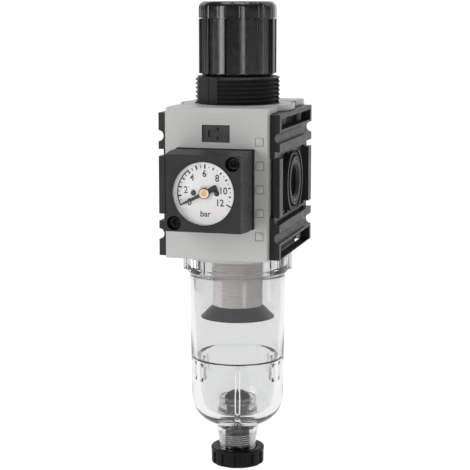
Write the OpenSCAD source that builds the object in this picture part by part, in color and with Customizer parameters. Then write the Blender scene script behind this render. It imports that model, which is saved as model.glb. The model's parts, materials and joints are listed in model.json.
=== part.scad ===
// Compressed-air filter regulator with a built-in gauge and a clear filter bowl.
// Z runs up the main axis, X follows the flow from inlet to outlet, and -Y is the gauge side.
// The origin is on the main axis, on the top face of the body, at the foot of the panel thread.

/* [Knob] */
// Diameter over the knob's ribs
knob_d = 27.4; // [26.8:0.1:27.6]
// Height of the knob's top above the body
knob_top = 35.4; // [34.8:0.1:35.8]
// Height of the knob's lower rim above the body
knob_rim = 10; // [9.9:0.1:10.4]
// Height of the shoulder where the ribs stop
knob_shoulder = 29.6; // [28.5:0.1:30]
// Number of ribs round the knob
knob_ribs = 12; // [8:1:14]
// Lift that frees the knob so that it can be turned
knob_lift = 3; // [2:0.1:3.2]

/* [Bonnet] */
// Diameter of the panel thread
thread_d = 30; // [29.8:0.1:30.2]
// Length of the panel thread
thread_h = 9.5; // [9:0.1:9.6]
// Distance of the thread's keying flat from the axis
thread_flat = 14.1; // [14:0.1:14.6]
// Direction of the keying flat, in degrees from +X
thread_flat_angle = -121; // [-135:1:-110]

/* [Body] */
// Width of the front and rear covers
cover_w = 35.8; // [35.6:0.1:35.8]
// Depth over both covers
cover_depth = 56; // [55.8:0.1:56.6]
// Height of the covers
cover_h = 51.7; // [51.6:0.1:52]
// Drop of the round lip that each cover has round the bowl
lip_drop = 2.9; // [2:0.1:3]
// Wall of the covers
cover_wall = 1.8; // [1.6:0.1:2]
// Width over the two connection frames
frame_w = 42.8; // [42.6:0.1:43.2]
// Depth of the connection frames
frame_depth = 49.2; // [49:0.1:49.6]
// Drop of the frames' top edge below the body's top
frame_top = 2.1; // [2.1:0.1:2.2]
// Diameter of the round head
head_d = 40.6; // [40.2:0.1:40.8]

/* [Ports] */
// Height of the port centres below the body's top
port_drop = 27; // [26.8:0.1:27.2]
// Bore of a G1/4 port, at the thread's inner diameter
port_bore = 11.5; // [11.4:0.1:11.6]
// Threaded depth of a port
port_depth = 10; // [9:0.1:10.2]

/* [Gauge] */
// Width and height of the gauge
gauge_size = 26.6; // [26.2:0.1:26.8]
// How far the gauge stands out from the front cover
gauge_out = 15.4; // [15.2:0.1:15.6]
// Diameter of the gauge's window
window_d = 22; // [21.6:0.1:22.2]
// Sweep of the pointer from nought to full scale, in degrees
pointer_sweep = 233; // [220:1:234]
// Direction of the pointer at nought, in degrees from +X
pointer_zero = 206.5; // [200:0.5:210]

/* [Bowl] */
// Outer diameter of the bowl's collar
collar_d = 36.2; // [35.8:0.1:36.4]
// Outer diameter of the bowl below the collar
bowl_d = 34.4; // [34.2:0.1:34.6]
// Height of the bowl's rounded floor below the body's top
bowl_floor = 116.7; // [116:0.1:117]
// Turn of the locked bowl against the body, in degrees
bowl_turn = 15; // [0:1:20]
// Outer diameter of the filter element
filter_d = 17.8; // [17:0.1:18.2]
// Diameter of the baffle disc
baffle_d = 26.4; // [25:0.1:26.6]

/* [Drain] */
// Diameter of the drain knob
drain_d = 19.4; // [19.2:0.1:20]
// Height of the drain knob's lower face below the body's top
drain_bottom = 131.9; // [131.5:0.1:132.2]
// Height of the drain knob
drain_h = 6.1; // [5.9:0.1:6.3]

/* [Hidden] */
$fn = 72;
eps = 0.01;
fit = 0.05;
knob_r = knob_d / 2;
thread_r = thread_d / 2;
half_w = cover_w / 2;
half_d = cover_depth / 2;
frame_x = frame_w / 2;
frame_in = half_w + fit;
frame_y = frame_depth / 2;
head_r = head_d / 2;
port_z = -port_drop;
port_r = port_bore / 2;
bowl_r = bowl_d / 2;
collar_r = collar_d / 2;

// Knob and adjusting gear
cap_h = 1.2;
snap_z = knob_rim + knob_lift;
rib_h = 1.1;
rib_w = 2.3;
rib_turn = 22.3;
neck_r = 10.6;
neck_top = 24.5;
neck_roof = 21.5;
spindle_r = 4;
spindle_low = 0;
spindle_bore = 4.6;
drive_w = 6;
drive_top = 30.4;
nut_r = 8.2;
nut_low = 12;
nut_high = 17.5;
nut_lug = 9.5;
coil_r = 6.6;
coil_wire = 1.8;
coil_turns = 5;

// Diaphragm stack
flange_low = -5;
flange_r = 16.2;
web_top = -5.3;
web_low = -5.9;
clamp_low = -6.2;
plate_top = -4.3;
sense_r = 12.8;
relief_low = -7.1;
stud_r = 2.4;

// Valve
seat_top = -23;
seat_low = -26;
seat_r = 6.5;
seat_bore = 3.2;
disc_r = 4.8;
disc_low = -28;
shank_r = 2.4;
shank_low = -34;
guide_top = -32;
guide_low = -43;
guide_r = 7.5;
stem_r = 1.1;
chamber_r = 8;
chamber_top = -16;
passage_r = 2.6;
passage_x = 12.6;

// Scoops on the covers
scoop_r = 150;
scoop_deep = 1;
scoop_tilt = 13.5;

// Core and socket for the bowl
core_x = 17.6;
core_y = 21.9;
core_low = -51.6;
socket_r = 15.35;
socket_roof = -43;
lug_r = 16.4;
lug_top = -44.6;
lug_low = -46.6;
lug_arc = 24;
twist = 30;
bowl_neck_r = 14.9;
bowl_mouth_r = 13.5;

// Connection frames
groove_r = 1.9;
groove_off = 17;
notch_off = 11.2;
notch_h = 2.4;
notch_deep = 1.8;
pocket_off = 21.5;
pocket_h = 3.6;
pocket_y = 22.4;
boss_r = 11.7;
boss_in_r = 10.9;
insert_r = 7.8;
recess_y = 20;
recess_h = 24.8;
recess_floor = 2.5;

// Gauge
gauge_h = gauge_size / 2;
gauge_front = -half_d - gauge_out;
gauge_in_r = window_d / 2;
gauge_back = -half_d + 1.8;
gasket_t = 1.8;
gasket_h = gauge_h + 0.25;
face_h = gauge_h - 0.45;
cavity_y = gauge_front + 12.6;
socket_z = port_z + 6;
screw_off = 10.05;
screw_hole = 1.4;
screw_head_r = 1.75;
dial_y = gauge_front + 2.6;
pivot_off = 8.75;
tooth_module = 0.25;
pinion_teeth = 10;
wheel_teeth = 60;
sector_sweep = pointer_sweep * pinion_teeth / wheel_teeth;
movement_y = gauge_front + 5.2;
tube_r = 8.6;
tube_w = 2.4;

// Filter
filter_low = -72.5;
filter_top = -47.2;
baffle_low = -76.9;
baffle_rim = -76.4;

// Bowl and drain
step_z = -91.5;
neck_low = -128.4;
neck_bore = 5.9;
knob_bore = 7;
stem_out = 4.2;
stem_head = 4.7;
head_low = -107.9;
seat_z = -109.45;
drain_top = -drain_bottom + drain_h;

// ---------------------------------------------------------------- helpers

// A ring or disc between two heights
module ring(r_out, r_in, low, high) {
    translate([0, 0, low]) difference() {
        cylinder(r = r_out, h = high - low);
        if (r_in > 0) translate([0, 0, -1]) cylinder(r = r_in, h = high - low + 2);
    }
}

// A cylinder along Y between two depths
module rod_y(r, y0, y1) {
    translate([0, y1, 0]) rotate([90, 0, 0]) cylinder(r = r, h = y1 - y0);
}

// A cylinder along X between two places
module rod_x(r, x0, x1) {
    translate([x0, 0, 0]) rotate([0, 90, 0]) cylinder(r = r, h = x1 - x0);
}

// A flat shape drawn in X and Z, extruded from one depth to another
module slab_y(y0, y1) {
    translate([0, y1, 0]) rotate([90, 0, 0]) linear_extrude(y1 - y0) children();
}

// A box from its two corners
module span(a, b) {
    translate(a) cube(b - a);
}

// The two screw places, on the falling diagonal through the port centre
module at_screws() {
    for (side = [-1, 1])
        translate([side * screw_off, 0, port_z + side * screw_off])
            children();
}

// A square block along Y about the port height, from its width and height
module block_y(wide, high, y0, y1) {
    translate([0, 0, port_z]) span([-wide / 2, y0, -high / 2], [wide / 2, y1, high / 2]);
}

module oring(r, wire, z) {
    translate([0, 0, z]) rotate_extrude() translate([r, 0]) circle(r = wire, $fn = 24);
}

// A coil spring as a stack of closed turns joined by two upright bars inside its wall
module coil(r, wire, low, high, turns) {
    pitch = (high - low - 2 * wire) / (turns - 1);
    for (i = [0:turns - 1])
        translate([0, 0, low + wire + i * pitch])
            rotate_extrude() translate([r, 0]) circle(r = wire, $fn = 20);
    for (side = [0, 180]) rotate([0, 0, side])
        translate([r, 0, low + wire]) cylinder(r = wire * 0.8, h = high - low - 2 * wire, $fn = 20);
}

// Front and rear: children are drawn for -Y and mirrored to +Y
module both_y() {
    children();
    mirror([0, 1, 0]) children();
}

// Teeth of a small wheel drawn flat, between two tooth numbers
module teeth(count, first, last, slack) {
    pitch_r = tooth_module * count / 2;
    root_r = pitch_r - 1.25 * tooth_module;
    tip_r = pitch_r + 0.9 * tooth_module;
    step = 360 / count;
    half_root = step * 0.33 - slack;
    half_pitch = step * 0.25 - slack;
    half_tip = step * 0.12;
    for (i = [first:last]) rotate(i * step)
        polygon([
            [root_r * 0.9, 0] + [0, -root_r * sin(half_root)],
            root_r * [cos(half_root), -sin(half_root)],
            pitch_r * [cos(half_pitch), -sin(half_pitch)],
            tip_r * [cos(half_tip), -sin(half_tip)],
            tip_r * [cos(half_tip), sin(half_tip)],
            pitch_r * [cos(half_pitch), sin(half_pitch)],
            root_r * [cos(half_root), sin(half_root)],
            [root_r * 0.9, 0] + [0, root_r * sin(half_root)]
        ]);
}

// ---------------------------------------------------------------- pressure setting

module knob() {
    core_r = knob_r - rib_h;
    roof = drive_top + 0.2;
    rounding = 2;
    drive_half = drive_w / 2 + 0.1;
    color([0.07, 0.07, 0.07]) difference() {
        union() {
            ring(core_r, 0, knob_rim, knob_shoulder);
            ring(knob_r, 0, knob_shoulder - eps, knob_top - rounding);
            translate([0, 0, knob_top - rounding])
                cylinder(r1 = knob_r, r2 = knob_r - 1.6, h = rounding);
            intersection() {
                ring(knob_r, 0, knob_rim, knob_shoulder);
                for (i = [0:knob_ribs - 1])
                    rotate([0, 0, rib_turn + i * 360 / knob_ribs])
                        span([core_r - 1, -rib_w / 2, knob_rim + 0.2],
                             [knob_r + 1, rib_w / 2, knob_shoulder]);
            }
        }
        // room for the bonnet's neck, with a boss round the square drive
        difference() {
            ring(neck_r + 0.7, 0, knob_rim - 1, roof);
            ring(5.4, 0, neck_top + 0.6, roof + 1);
        }
        span([-drive_half, -drive_half, neck_top], [drive_half, drive_half, roof]);
        ring(9.6, 0, knob_top - cap_h, knob_top + 1);
    }
}

module knob_cap() {
    color([0.09, 0.09, 0.09]) ring(9.5, 0, knob_top - cap_h, knob_top - 0.1);
}

module detent_ring() {
    color([0.2, 0.2, 0.2]) oring(neck_r - 0.2, 0.6, snap_z);
}

module spindle() {
    color([0.72, 0.7, 0.66]) {
        ring(spindle_r, 0, spindle_low, neck_roof - 2);
        ring(7.4, 0, neck_roof - 2 - eps, neck_roof - 0.5);
        ring(spindle_bore - fit, 0, neck_roof - 0.5 - eps, neck_top + 0.1);
        intersection() {
            ring(spindle_bore - fit, 0, neck_top, drive_top);
            span([-drive_w / 2, -drive_w / 2, neck_top], [drive_w / 2, drive_w / 2, drive_top]);
        }
    }
}

module thrust_washer() {
    color([0.8, 0.78, 0.7]) ring(7.4, spindle_bore, neck_roof - 0.45, neck_roof);
}

module spring_nut() {
    color([0.78, 0.66, 0.35]) difference() {
        union() {
            ring(nut_r, 0, nut_low, nut_high);
            span([-nut_lug, -1, nut_low], [nut_lug, 1, nut_high]);
        }
        ring(spindle_r + fit, 0, nut_low - 1, nut_high + 1);
    }
}

module regulating_spring() {
    color([0.6, 0.62, 0.64]) coil(coil_r, coil_wire / 2, plate_top, nut_low, coil_turns);
}

module bonnet() {
    cone_h = 0.3;
    lug_room = nut_lug + 0.2;
    color([0.06, 0.06, 0.06]) difference() {
        union() {
            ring(flange_r, 0, flange_low, -2.1);
            ring(thread_r - 0.3, 0, -2.2, eps);
            difference() {
                ring(thread_r, 0, 0, thread_h);
                rotate([0, 0, thread_flat_angle])
                    span([thread_flat, -10, -3], [thread_r + 5, 10, thread_h + 1]);
            }
            translate([0, 0, thread_h - eps])
                cylinder(r1 = thread_r - 0.9, r2 = neck_r, h = cone_h);
            ring(neck_r, 0, thread_h, neck_top);
        }
        // spring chamber, spring nut's shaft and the spindle's bore
        ring(12.2, 0, flange_low - 1, 6);
        ring(8.6, 0, 5, neck_roof);
        ring(spindle_bore, 0, 0, neck_top + 1);
        span([-lug_room, -1.2, 5], [lug_room, 1.2, neck_roof - 2.6]);
        // groove of the snap ring that holds the knob
        ring(neck_r + 1, neck_r - 0.85, snap_z - 0.65, snap_z + 0.65);
    }
}

// ---------------------------------------------------------------- diaphragm and valve

module diaphragm() {
    color([0.13, 0.12, 0.11]) {
        ring(sense_r - 0.4, stud_r + fit, web_low, web_top);
        ring(flange_r - 0.2, sense_r - 0.5, clamp_low, flange_low);
    }
}

module diaphragm_plate() {
    color([0.7, 0.71, 0.72]) {
        ring(10.4, stud_r + fit, web_top, plate_top);
        ring(coil_r - coil_wire / 2 - 0.2, stud_r + fit, plate_top - eps, plate_top + 0.9);
    }
}

module relief_seat() {
    color([0.78, 0.66, 0.35]) difference() {
        union() {
            ring(9, 0, relief_low, web_low);
            ring(stud_r, 0, web_low - eps, plate_top + 1.3);
        }
        ring(0.7, 0, relief_low - 1, plate_top + 3);
    }
}

module valve_seat() {
    color([0.78, 0.66, 0.35]) {
        ring(seat_r, seat_bore, seat_low, seat_top);
        ring(seat_bore + 0.6, seat_bore, seat_low - 0.3, seat_low + eps);
    }
}

module valve_stem() {
    color([0.78, 0.66, 0.35]) {
        ring(stem_r, 0, seat_low - 0.4, relief_low - fit);
        ring(stem_r + 0.5, 0, seat_low - 1, seat_low - 0.35);
        ring(1.6, 0, disc_low, seat_low - 0.9);
        ring(4.4, 0, disc_low - 0.8, disc_low);
        ring(shank_r, 0, shank_low, disc_low - 0.8 + eps);
    }
}

module valve_disc() {
    color([0.1, 0.1, 0.1]) ring(disc_r, 1.6, disc_low, seat_low - 0.35);
}

module valve_spring() {
    color([0.7, 0.72, 0.74]) coil(3.5, 0.35, guide_top, disc_low - 0.8, 4);
}

module valve_guide() {
    color([0.85, 0.85, 0.82]) difference() {
        union() {
            ring(guide_r, 0, guide_low, guide_top - 1.4);
            ring(4.6, 0, guide_low, guide_top);
        }
        ring(shank_r + fit, 0, shank_low - 2.4, guide_top + 1);
        ring(2.5, 0, guide_low - 1, guide_low + 4.6);
        for (i = [0:3]) rotate([0, 0, 45 + i * 90])
            translate([5.6, 0, guide_low - 1]) cylinder(r = 1, h = 12, $fn = 24);
        ring(guide_r + 1, guide_r - 1.05, -38.8, -37.2);
    }
}

module guide_oring() {
    color([0.08, 0.08, 0.08]) oring(guide_r - 0.48, 0.5, -38);
}

// ---------------------------------------------------------------- body

// Path of a bayonet lug in the socket's wall, between two directions and two heights
module lug_path(from, to, low, high, r) {
    translate([0, 0, low]) rotate([0, 0, from])
        rotate_extrude(angle = to - from)
            translate([socket_r - 1, 0]) square([r - socket_r + 1, high - low]);
}

module body_core() {
    post_r = 2.6;
    insert_in = frame_x - port_depth - 1.6;
    lug_end = 90 + lug_arc / 2;
    lug_start = 90 - lug_arc / 2 - twist;
    color([0.16, 0.16, 0.165]) difference() {
        union() {
            intersection() {
                ring(head_r - 0.4, 0, -3.2, -frame_top);
                span([-core_x, -30, -5], [core_x, 30, 0]);
            }
            ring(17.3, 0, -14, -frame_top - 0.1);
            span([-15, -core_y, -46], [15, core_y, -13.9]);
            span([-core_x, -15, core_low], [core_x, 15, -13.9]);
            intersection() {
                ring(20.6, 0, core_low, -40);
                span([-core_x, -core_y, core_low - 1], [core_x, core_y, -39]);
            }
            // posts that take the screws of the gauge and of the rear cover
            at_screws() {
                rod_y(post_r, -half_d + cover_wall + fit, -core_y + 1);
                rod_y(post_r, core_y - 1, half_d - cover_wall - fit);
            }
        }
        // seat of the bonnet, chamber under the diaphragm, valve chamber
        ring(flange_r + fit, 0, clamp_low, 0);
        ring(sense_r, 0, -10.5, 0);
        ring(seat_r + fit, 0, seat_low, chamber_top + 1);
        ring(chamber_r, 0, seat_top + eps, chamber_top);
        ring(stem_r + fit, 0, chamber_top - 1, -9);
        translate([5.2, 0, chamber_top - 1]) cylinder(r = 0.8, h = 9, $fn = 24);
        ring(guide_r + fit, 0, socket_roof - 1, guide_top - 1.35);
        ring(6, 0, guide_top - 2, seat_low + eps);
        // bayonet socket of the bowl
        ring(socket_r, 0, core_low - 1, socket_roof);
        for (turn = [0, 180]) rotate([0, 0, turn + bowl_turn]) {
            lug_path(lug_start - 1, lug_end + 1, lug_low - 0.4, lug_top + 0.3, lug_r + 0.3);
            lug_path(lug_start - 0.5, lug_end - twist + 0.5, core_low - 1, lug_low, lug_r + 0.2);
        }
        // inlet and outlet ports
        translate([0, 0, port_z]) {
            rod_x(insert_r + fit, insert_in, frame_x + 1);
            rod_x(insert_r + fit, -frame_x - 1, -insert_in);
        }
        // inlet passage down to the bowl, outlet passage from the chamber above the seat
        translate([-passage_x, 0, socket_roof - 1])
            cylinder(r = passage_r, h = port_z - socket_roof);
        translate([0, 0, -21.2]) rod_x(passage_r, chamber_r - 2, passage_x);
        // gauge bore in front, plug bore behind
        translate([0, 0, socket_z]) {
            rod_y(3.3, -core_y - 1, -core_y + 9);
            rod_y(1.2, -core_y, -chamber_r + 2);
            rod_y(4.8, core_y - 8, core_y + 1);
            rod_y(1.2, chamber_r - 2, core_y);
        }
        at_screws() {
            rod_y(screw_hole, -half_d, -half_d + 10);
            rod_y(screw_hole, half_d - 10, half_d);
        }
    }
}

module head_plate() {
    color([0.7, 0.7, 0.68]) ring(head_r - 1.1, thread_r + 0.1, -2.05, 0);
}

module head_ring() {
    color([0.66, 0.66, 0.64]) ring(head_r, head_r - 0.8, -2.05, 0);
}

// A shallow concave scoop that starts at a height and fades into the cover's face
module scoop(z, tilt) {
    translate([0, -half_d - scoop_r + scoop_deep, z]) rotate([tilt, 0, 0])
        translate([0, 0, -30]) cylinder(r = scoop_r, h = 60, $fn = 360);
}

// One cover, drawn for the front
module cover_shell() {
    edge_y = -14;
    return_y = -22.2;
    bevel = 2.2;
    bevel_turn = -33;
    side_wall = 1.5;
    difference() {
        union() {
            span([-half_w, -half_d, -cover_h], [half_w, return_y, 0]);
            span([-half_w, -half_d, -1.9], [half_w, edge_y, 0]);
            // round lip below, on the side of this cover only
            intersection() {
                ring(collar_r + 1, 0, -cover_h - lip_drop, -cover_h + eps);
                span([-half_w, -half_d, -cover_h - 5], [half_w, edge_y, 0]);
            }
            span([-12, -half_d, -cover_h], [12, edge_y, core_low - 0.05]);
        }
        span([-half_w + side_wall, -half_d + cover_wall, core_low - 0.05],
             [half_w - side_wall, return_y + 1, -1.9]);
        scoop(-cover_h, -scoop_tilt);
        scoop(-bevel, scoop_tilt);
        // bevel along the top front edge
        translate([-half_w - 1, -half_d, -bevel]) rotate([bevel_turn, 0, 0])
            span([0, -10, 0], [cover_w + 2, 0, 10]);
        ring(head_r + 0.3, 0, -4, 1);
        ring(collar_r + 0.3, 0, -cover_h - lip_drop - 1, core_low + 1);
    }
}

module front_cover() {
    square_w = 3;
    square_line = 0.3;
    square_deep = 0.5;
    square_x = 13.7;
    color([0.7, 0.7, 0.68]) difference() {
        cover_shell();
        translate([0, 0, port_z]) rod_y(11, -half_d - 1, -half_d + 4);
        at_screws() rod_y(1.9, -half_d - 1, -half_d + 4);
        // recess of the arrow plate
        span([-4.9, -half_d - 1, -11.5], [4.9, -half_d + 1.2, -5.6]);
        // column of small engraved squares beside the gauge
        for (i = [0:4]) translate([square_x, -half_d - 1, -12.5 - i * 8]) difference() {
            cube([square_w, 1 + square_deep, square_w]);
            translate([square_line, -1, square_line])
                cube([square_w - 2 * square_line, 4, square_w - 2 * square_line]);
        }
    }
}

module rear_cover() {
    color([0.7, 0.7, 0.68]) difference() {
        mirror([0, 1, 0]) cover_shell();
        translate([0, 0, socket_z]) rod_y(7.4, half_d - 4, half_d + 1);
        at_screws() {
            rod_y(1.9, half_d - 4, half_d + 1);
            rod_y(2.7, half_d - 1.2, half_d + 1);
        }
    }
}

// Profile of a connection frame, cut along Y for its whole depth
module frame_profile() {
    top = -frame_top;
    low = -cover_h + 0.1;
    difference() {
        translate([frame_in, low]) square([frame_x - frame_in, top - low]);
        for (side = [-1, 1]) {
            translate([frame_x + 0.1, port_z + side * groove_off]) circle(r = groove_r);
            translate([frame_x - notch_deep, port_z + side * notch_off - notch_h / 2])
                square([notch_deep + 1, notch_h]);
        }
    }
}

module connection_frame() {
    rail_off = 11.2;
    relief_h = notch_off - notch_h / 2;
    color([0.12, 0.12, 0.125]) difference() {
        slab_y(-frame_y, frame_y) frame_profile();
        // long pockets above and below
        long_pocket(pocket_off, 0, 0.1);
        long_pocket(-pocket_off, 1, 0);
        // middle recess with the port boss
        difference() {
            span([frame_in - 1, -recess_y, port_z - recess_h / 2],
                 [frame_x + 1, recess_y, port_z + recess_h / 2]);
            translate([0, 0, port_z]) rod_x(boss_r, frame_in - 2, frame_x - 0.3);
            span([frame_in - 2, -recess_y - 1, port_z - recess_h],
                 [frame_x - recess_floor, recess_y + 1, port_z + recess_h]);
            for (side = [-1, 1])
                span([frame_in - 1, -recess_y - 1, port_z + side * rail_off - 0.5],
                     [frame_x - 1.2, recess_y + 1, port_z + side * rail_off + 0.5]);
        }
        // groove of the port's O-ring, and the insert's bore
        translate([0, 0, port_z]) {
            difference() {
                rod_x(boss_in_r, frame_x - 1.9, frame_x + 1);
                rod_x(insert_r + 0.7, frame_x - 3, frame_x + 2);
            }
            rod_x(insert_r + fit, frame_in - 1, frame_x + 1);
        }
        // the middle of the front and rear edges stands back from the covers
        both_y() span([frame_in - 1, -frame_y - 1, port_z - relief_h],
                      [frame_in + 1.3, -frame_y + 2, port_z + relief_h]);
    }
}

// A pocket through the frame at a height from the port, with extra room below and above
module long_pocket(off, below, above) {
    span([frame_in - 1, -pocket_y, port_z + off - pocket_h / 2 - below],
         [frame_x + 1, pocket_y, port_z + off + pocket_h / 2 + above]);
}

module right_frame() { connection_frame(); }

module left_frame() { mirror([1, 0, 0]) connection_frame(); }

module port_insert() {
    inner = frame_x - port_depth - 1.5;
    color([0.1, 0.1, 0.1]) translate([0, 0, port_z]) difference() {
        rod_x(insert_r, inner, frame_x - 0.3);
        rod_x(port_r, frame_x - port_depth - 0.3, frame_x + 1);
        rod_x(4.2, inner - 1, frame_x);
        translate([0, 0, 5.4]) rod_x(2.4, inner - 1, inner + 1.6);
        translate([frame_x - 1.3, 0, 0]) rotate([0, 90, 0])
            cylinder(r1 = port_r - eps, r2 = 6.7, h = 1.01);
    }
}

module outlet_insert() { port_insert(); }

module inlet_insert() { mirror([1, 0, 0]) port_insert(); }

module port_orings() {
    color([0.05, 0.05, 0.05]) for (side = [-1, 1])
        translate([side * (frame_x - 1.2), 0, port_z]) rotate([0, 90, 0])
            rotate_extrude() translate([9.7, 0]) circle(r = 0.7, $fn = 24);
}

module arrow_plate() {
    color([0.3, 0.3, 0.3]) translate([0, -half_d + 1.2, -8.55]) {
        span([-4.85, -0.7, -2.9], [4.85, -0.02, 2.9]);
        slab_y(-1.1, -0.6) difference() {
            arrow_outline(1);
            arrow_outline(0.72);
        }
    }
}

// Right-pointing block arrow
module arrow_outline(k) {
    neck_x = 0.4;
    tail_x = -2.6;
    scale(k) polygon([
        [tail_x, -1.1], [neck_x, -1.1], [neck_x, -2.4], [3.2, 0],
        [neck_x, 2.4], [neck_x, 1.1], [tail_x, 1.1]
    ]);
}

// A socket-head screw lying along Y with its head towards -Y
module screw(head_y, head_h, tip_y) {
    difference() {
        union() {
            rod_y(screw_head_r, head_y, head_y + head_h);
            rod_y(1.35, head_y + head_h - eps, tip_y);
        }
        for (turn = [0:60:120]) rotate([0, turn, 0])
            span([-0.4, head_y - 1, -1.1], [0.4, head_y + 1, 1.1]);
    }
}

module gauge_screws() {
    color([0.1, 0.1, 0.1]) at_screws() screw(gauge_front + 1.6, 2.2, -half_d + 8);
}

module rear_screws() {
    color([0.1, 0.1, 0.1]) at_screws() mirror([0, 1, 0]) screw(-half_d + 0.1, 1.1, -half_d + 8);
}

module rear_plug() {
    color([0.1, 0.1, 0.1]) translate([0, 0, socket_z]) difference() {
        union() {
            rod_y(4.75, core_y - 7, core_y + 0.1);
            rod_y(7.2, core_y + 0.05, half_d - 0.2);
        }
        slab_y(half_d - 3.6, half_d + 1) circle(r = 2.9, $fn = 6);
    }
}

// ---------------------------------------------------------------- gauge

module gauge_housing() {
    face_deep = 7;
    color([0.13, 0.13, 0.135]) difference() {
        union() {
            // the face tapers out to the full square
            translate([0, gauge_front, port_z]) rotate([-90, 0, 0]) rotate([0, 0, 45])
                cylinder(r1 = face_h * sqrt(2), r2 = gauge_h * sqrt(2), h = face_deep, $fn = 4);
            block_y(gauge_size, gauge_size, gauge_front + face_deep - eps, -half_d - gasket_t);
            translate([0, 0, port_z]) rod_y(10.9, -half_d - gasket_t - 0.1, gauge_back + 0.6);
        }
        translate([0, 0, port_z]) rod_y(gauge_in_r, gauge_front - 1, cavity_y);
        translate([0, 0, socket_z]) rod_y(3, cavity_y - 1, gauge_back + 4);
        at_screws() {
            rod_y(2.45, gauge_front - 1, gauge_front + 3.8);
            rod_y(1.5, gauge_front, gauge_back + 2);
        }
    }
}

// Black gasket between the gauge and the cover
module gauge_gasket() {
    color([0.03, 0.03, 0.03]) difference() {
        block_y(2 * gasket_h, 2 * gasket_h, -half_d - gasket_t + 0.02, -half_d - 0.02);
        translate([0, 0, port_z]) rod_y(10.95, -half_d - gasket_t - 1, -half_d + 1);
        at_screws() rod_y(1.5, -half_d - gasket_t - 1, -half_d + 1);
    }
}

module gauge_bezel() {
    color([0.05, 0.05, 0.05]) translate([0, 0, port_z]) difference() {
        rod_y(gauge_in_r - 0.02, gauge_front - 0.1, gauge_front + 2.2);
        rod_y(gauge_in_r - 0.3, gauge_front - 1, gauge_front + 0.9);
        rod_y(gauge_in_r - 0.5, gauge_front - 1, gauge_front + 4);
    }
}

module gauge_lens() {
    dome_r = 40;
    lens_t = 1;
    rise = 1.9;
    color([0.9, 0.95, 1, 0.3]) translate([0, gauge_front + 0.88, port_z]) rotate([90, 0, 0])
        intersection() {
            cylinder(r = gauge_in_r - 0.32, h = rise + 1);
            difference() {
                translate([0, 0, rise - dome_r]) sphere(r = dome_r, $fn = 180);
                translate([0, 0, rise - lens_t - dome_r]) sphere(r = dome_r, $fn = 180);
                translate([0, 0, -60]) cylinder(r = 60, h = 60);
            }
        }
}

module gauge_dial() {
    color([0.93, 0.93, 0.92]) translate([0, 0, port_z]) difference() {
        rod_y(gauge_in_r - 0.15, dial_y, dial_y + 0.4);
        rod_y(1, dial_y - 1, dial_y + 2);
        for (side = [-1, 1]) translate([side * 4, 0, 0]) rod_y(0.5, dial_y - 1, dial_y + 2);
    }
}

module dial_rivets() {
    color([0.05, 0.05, 0.05]) for (side = [-1, 1]) translate([side * 4, 0, port_z]) {
        rod_y(0.95, dial_y - 0.3, dial_y - 0.01);
        rod_y(0.45, dial_y - 0.1, movement_y);
    }
}

module gauge_pointer() {
    color([0.05, 0.05, 0.05]) translate([0, 0, port_z]) difference() {
        union() {
            rod_y(1.6, dial_y - 1.1, dial_y - 0.7);
            slab_y(dial_y - 1.0, dial_y - 0.75) rotate(pointer_zero) polygon([
                [-5.2, -0.75], [-4.4, -0.85], [-1.2, -0.5], [1.2, -0.45], [8.6, -0.14],
                [8.6, 0.14], [1.2, 0.45], [-1.2, 0.5], [-4.4, 0.85], [-5.2, 0.75]
            ]);
        }
        rod_y(0.85, dial_y - 3, dial_y);
    }
}

module pointer_pinion() {
    half_turn = 180 / pinion_teeth;
    color([0.8, 0.5, 0.3]) translate([0, 0, port_z]) {
        rod_y(0.85, dial_y - 1.3, movement_y + 0.9);
        rod_y(0.6, movement_y + 0.8, movement_y + 4.4);
        slab_y(movement_y + 1.1, movement_y + 2.1) {
            rotate(-90) teeth(pinion_teeth, 0, pinion_teeth - 1, 1.2);
            circle(r = tooth_module * (pinion_teeth / 2 - 1.25));
        }
    }
}

module sector_gear() {
    wheel_r = tooth_module * wheel_teeth / 2;
    arm = 9;
    arm_turn = 90 - sector_sweep / 2 - 1.6;
    // at rest the sector stands turned back by half of its sweep
    color([0.82, 0.66, 0.3]) translate([0, 0, port_z - pivot_off])
        slab_y(movement_y + 1.2, movement_y + 2) difference() {
            union() {
                rotate(90 + 180 / wheel_teeth) teeth(wheel_teeth, -8, 1, 0.25);
                intersection() {
                    circle(r = wheel_r - 1.2 * tooth_module);
                    rotate(arm_turn) polygon([
                        [0, 0], arm * [cos(30), -sin(30)], [12, 0], arm * [cos(30), sin(30)]
                    ]);
                }
                circle(r = 1.3);
                rotate(160) translate([0, -0.5]) square([2.2, 1]);
            }
            circle(r = 0.45);
        }
}

module gauge_link() {
    color([0.8, 0.7, 0.4]) translate([0, 0, port_z - pivot_off])
        slab_y(movement_y + 2.05, movement_y + 2.35)
            rotate(160) translate([1.8, 0]) {
                circle(r = 0.45, $fn = 20);
                rotate(-40) translate([0, -0.3]) square([2.6, 0.6]);
            }
}

module movement_plates() {
    color([0.82, 0.66, 0.3]) translate([0, 0, port_z]) {
        difference() {
            union() {
                slab_y(movement_y, movement_y + 0.6) plate_outline();
                slab_y(movement_y + 2.9, movement_y + 3.5) plate_outline();
            }
            rod_y(0.9, movement_y - 1, movement_y + 1);
            rod_y(0.65, movement_y + 2, movement_y + 5);
        }
        translate([0, 0, -pivot_off]) rod_y(0.4, movement_y, movement_y + 3.5);
        for (side = [-1, 1]) translate([side * 5.2, 0, 3]) rod_y(0.6, movement_y, movement_y + 3.5);
    }
}

module plate_outline() {
    intersection() {
        circle(r = 10);
        translate([-6.5, -10]) square([13, 15]);
    }
}

module bourdon_tube() {
    tube_y = movement_y + 3.8;
    color([0.85, 0.6, 0.35]) translate([0, tube_y + tube_w, port_z])
        rotate([90, 0, 0]) rotate([0, 0, 101]) rotate_extrude(angle = 255)
            translate([tube_r, 0]) square([0.9, tube_w]);
}

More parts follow.
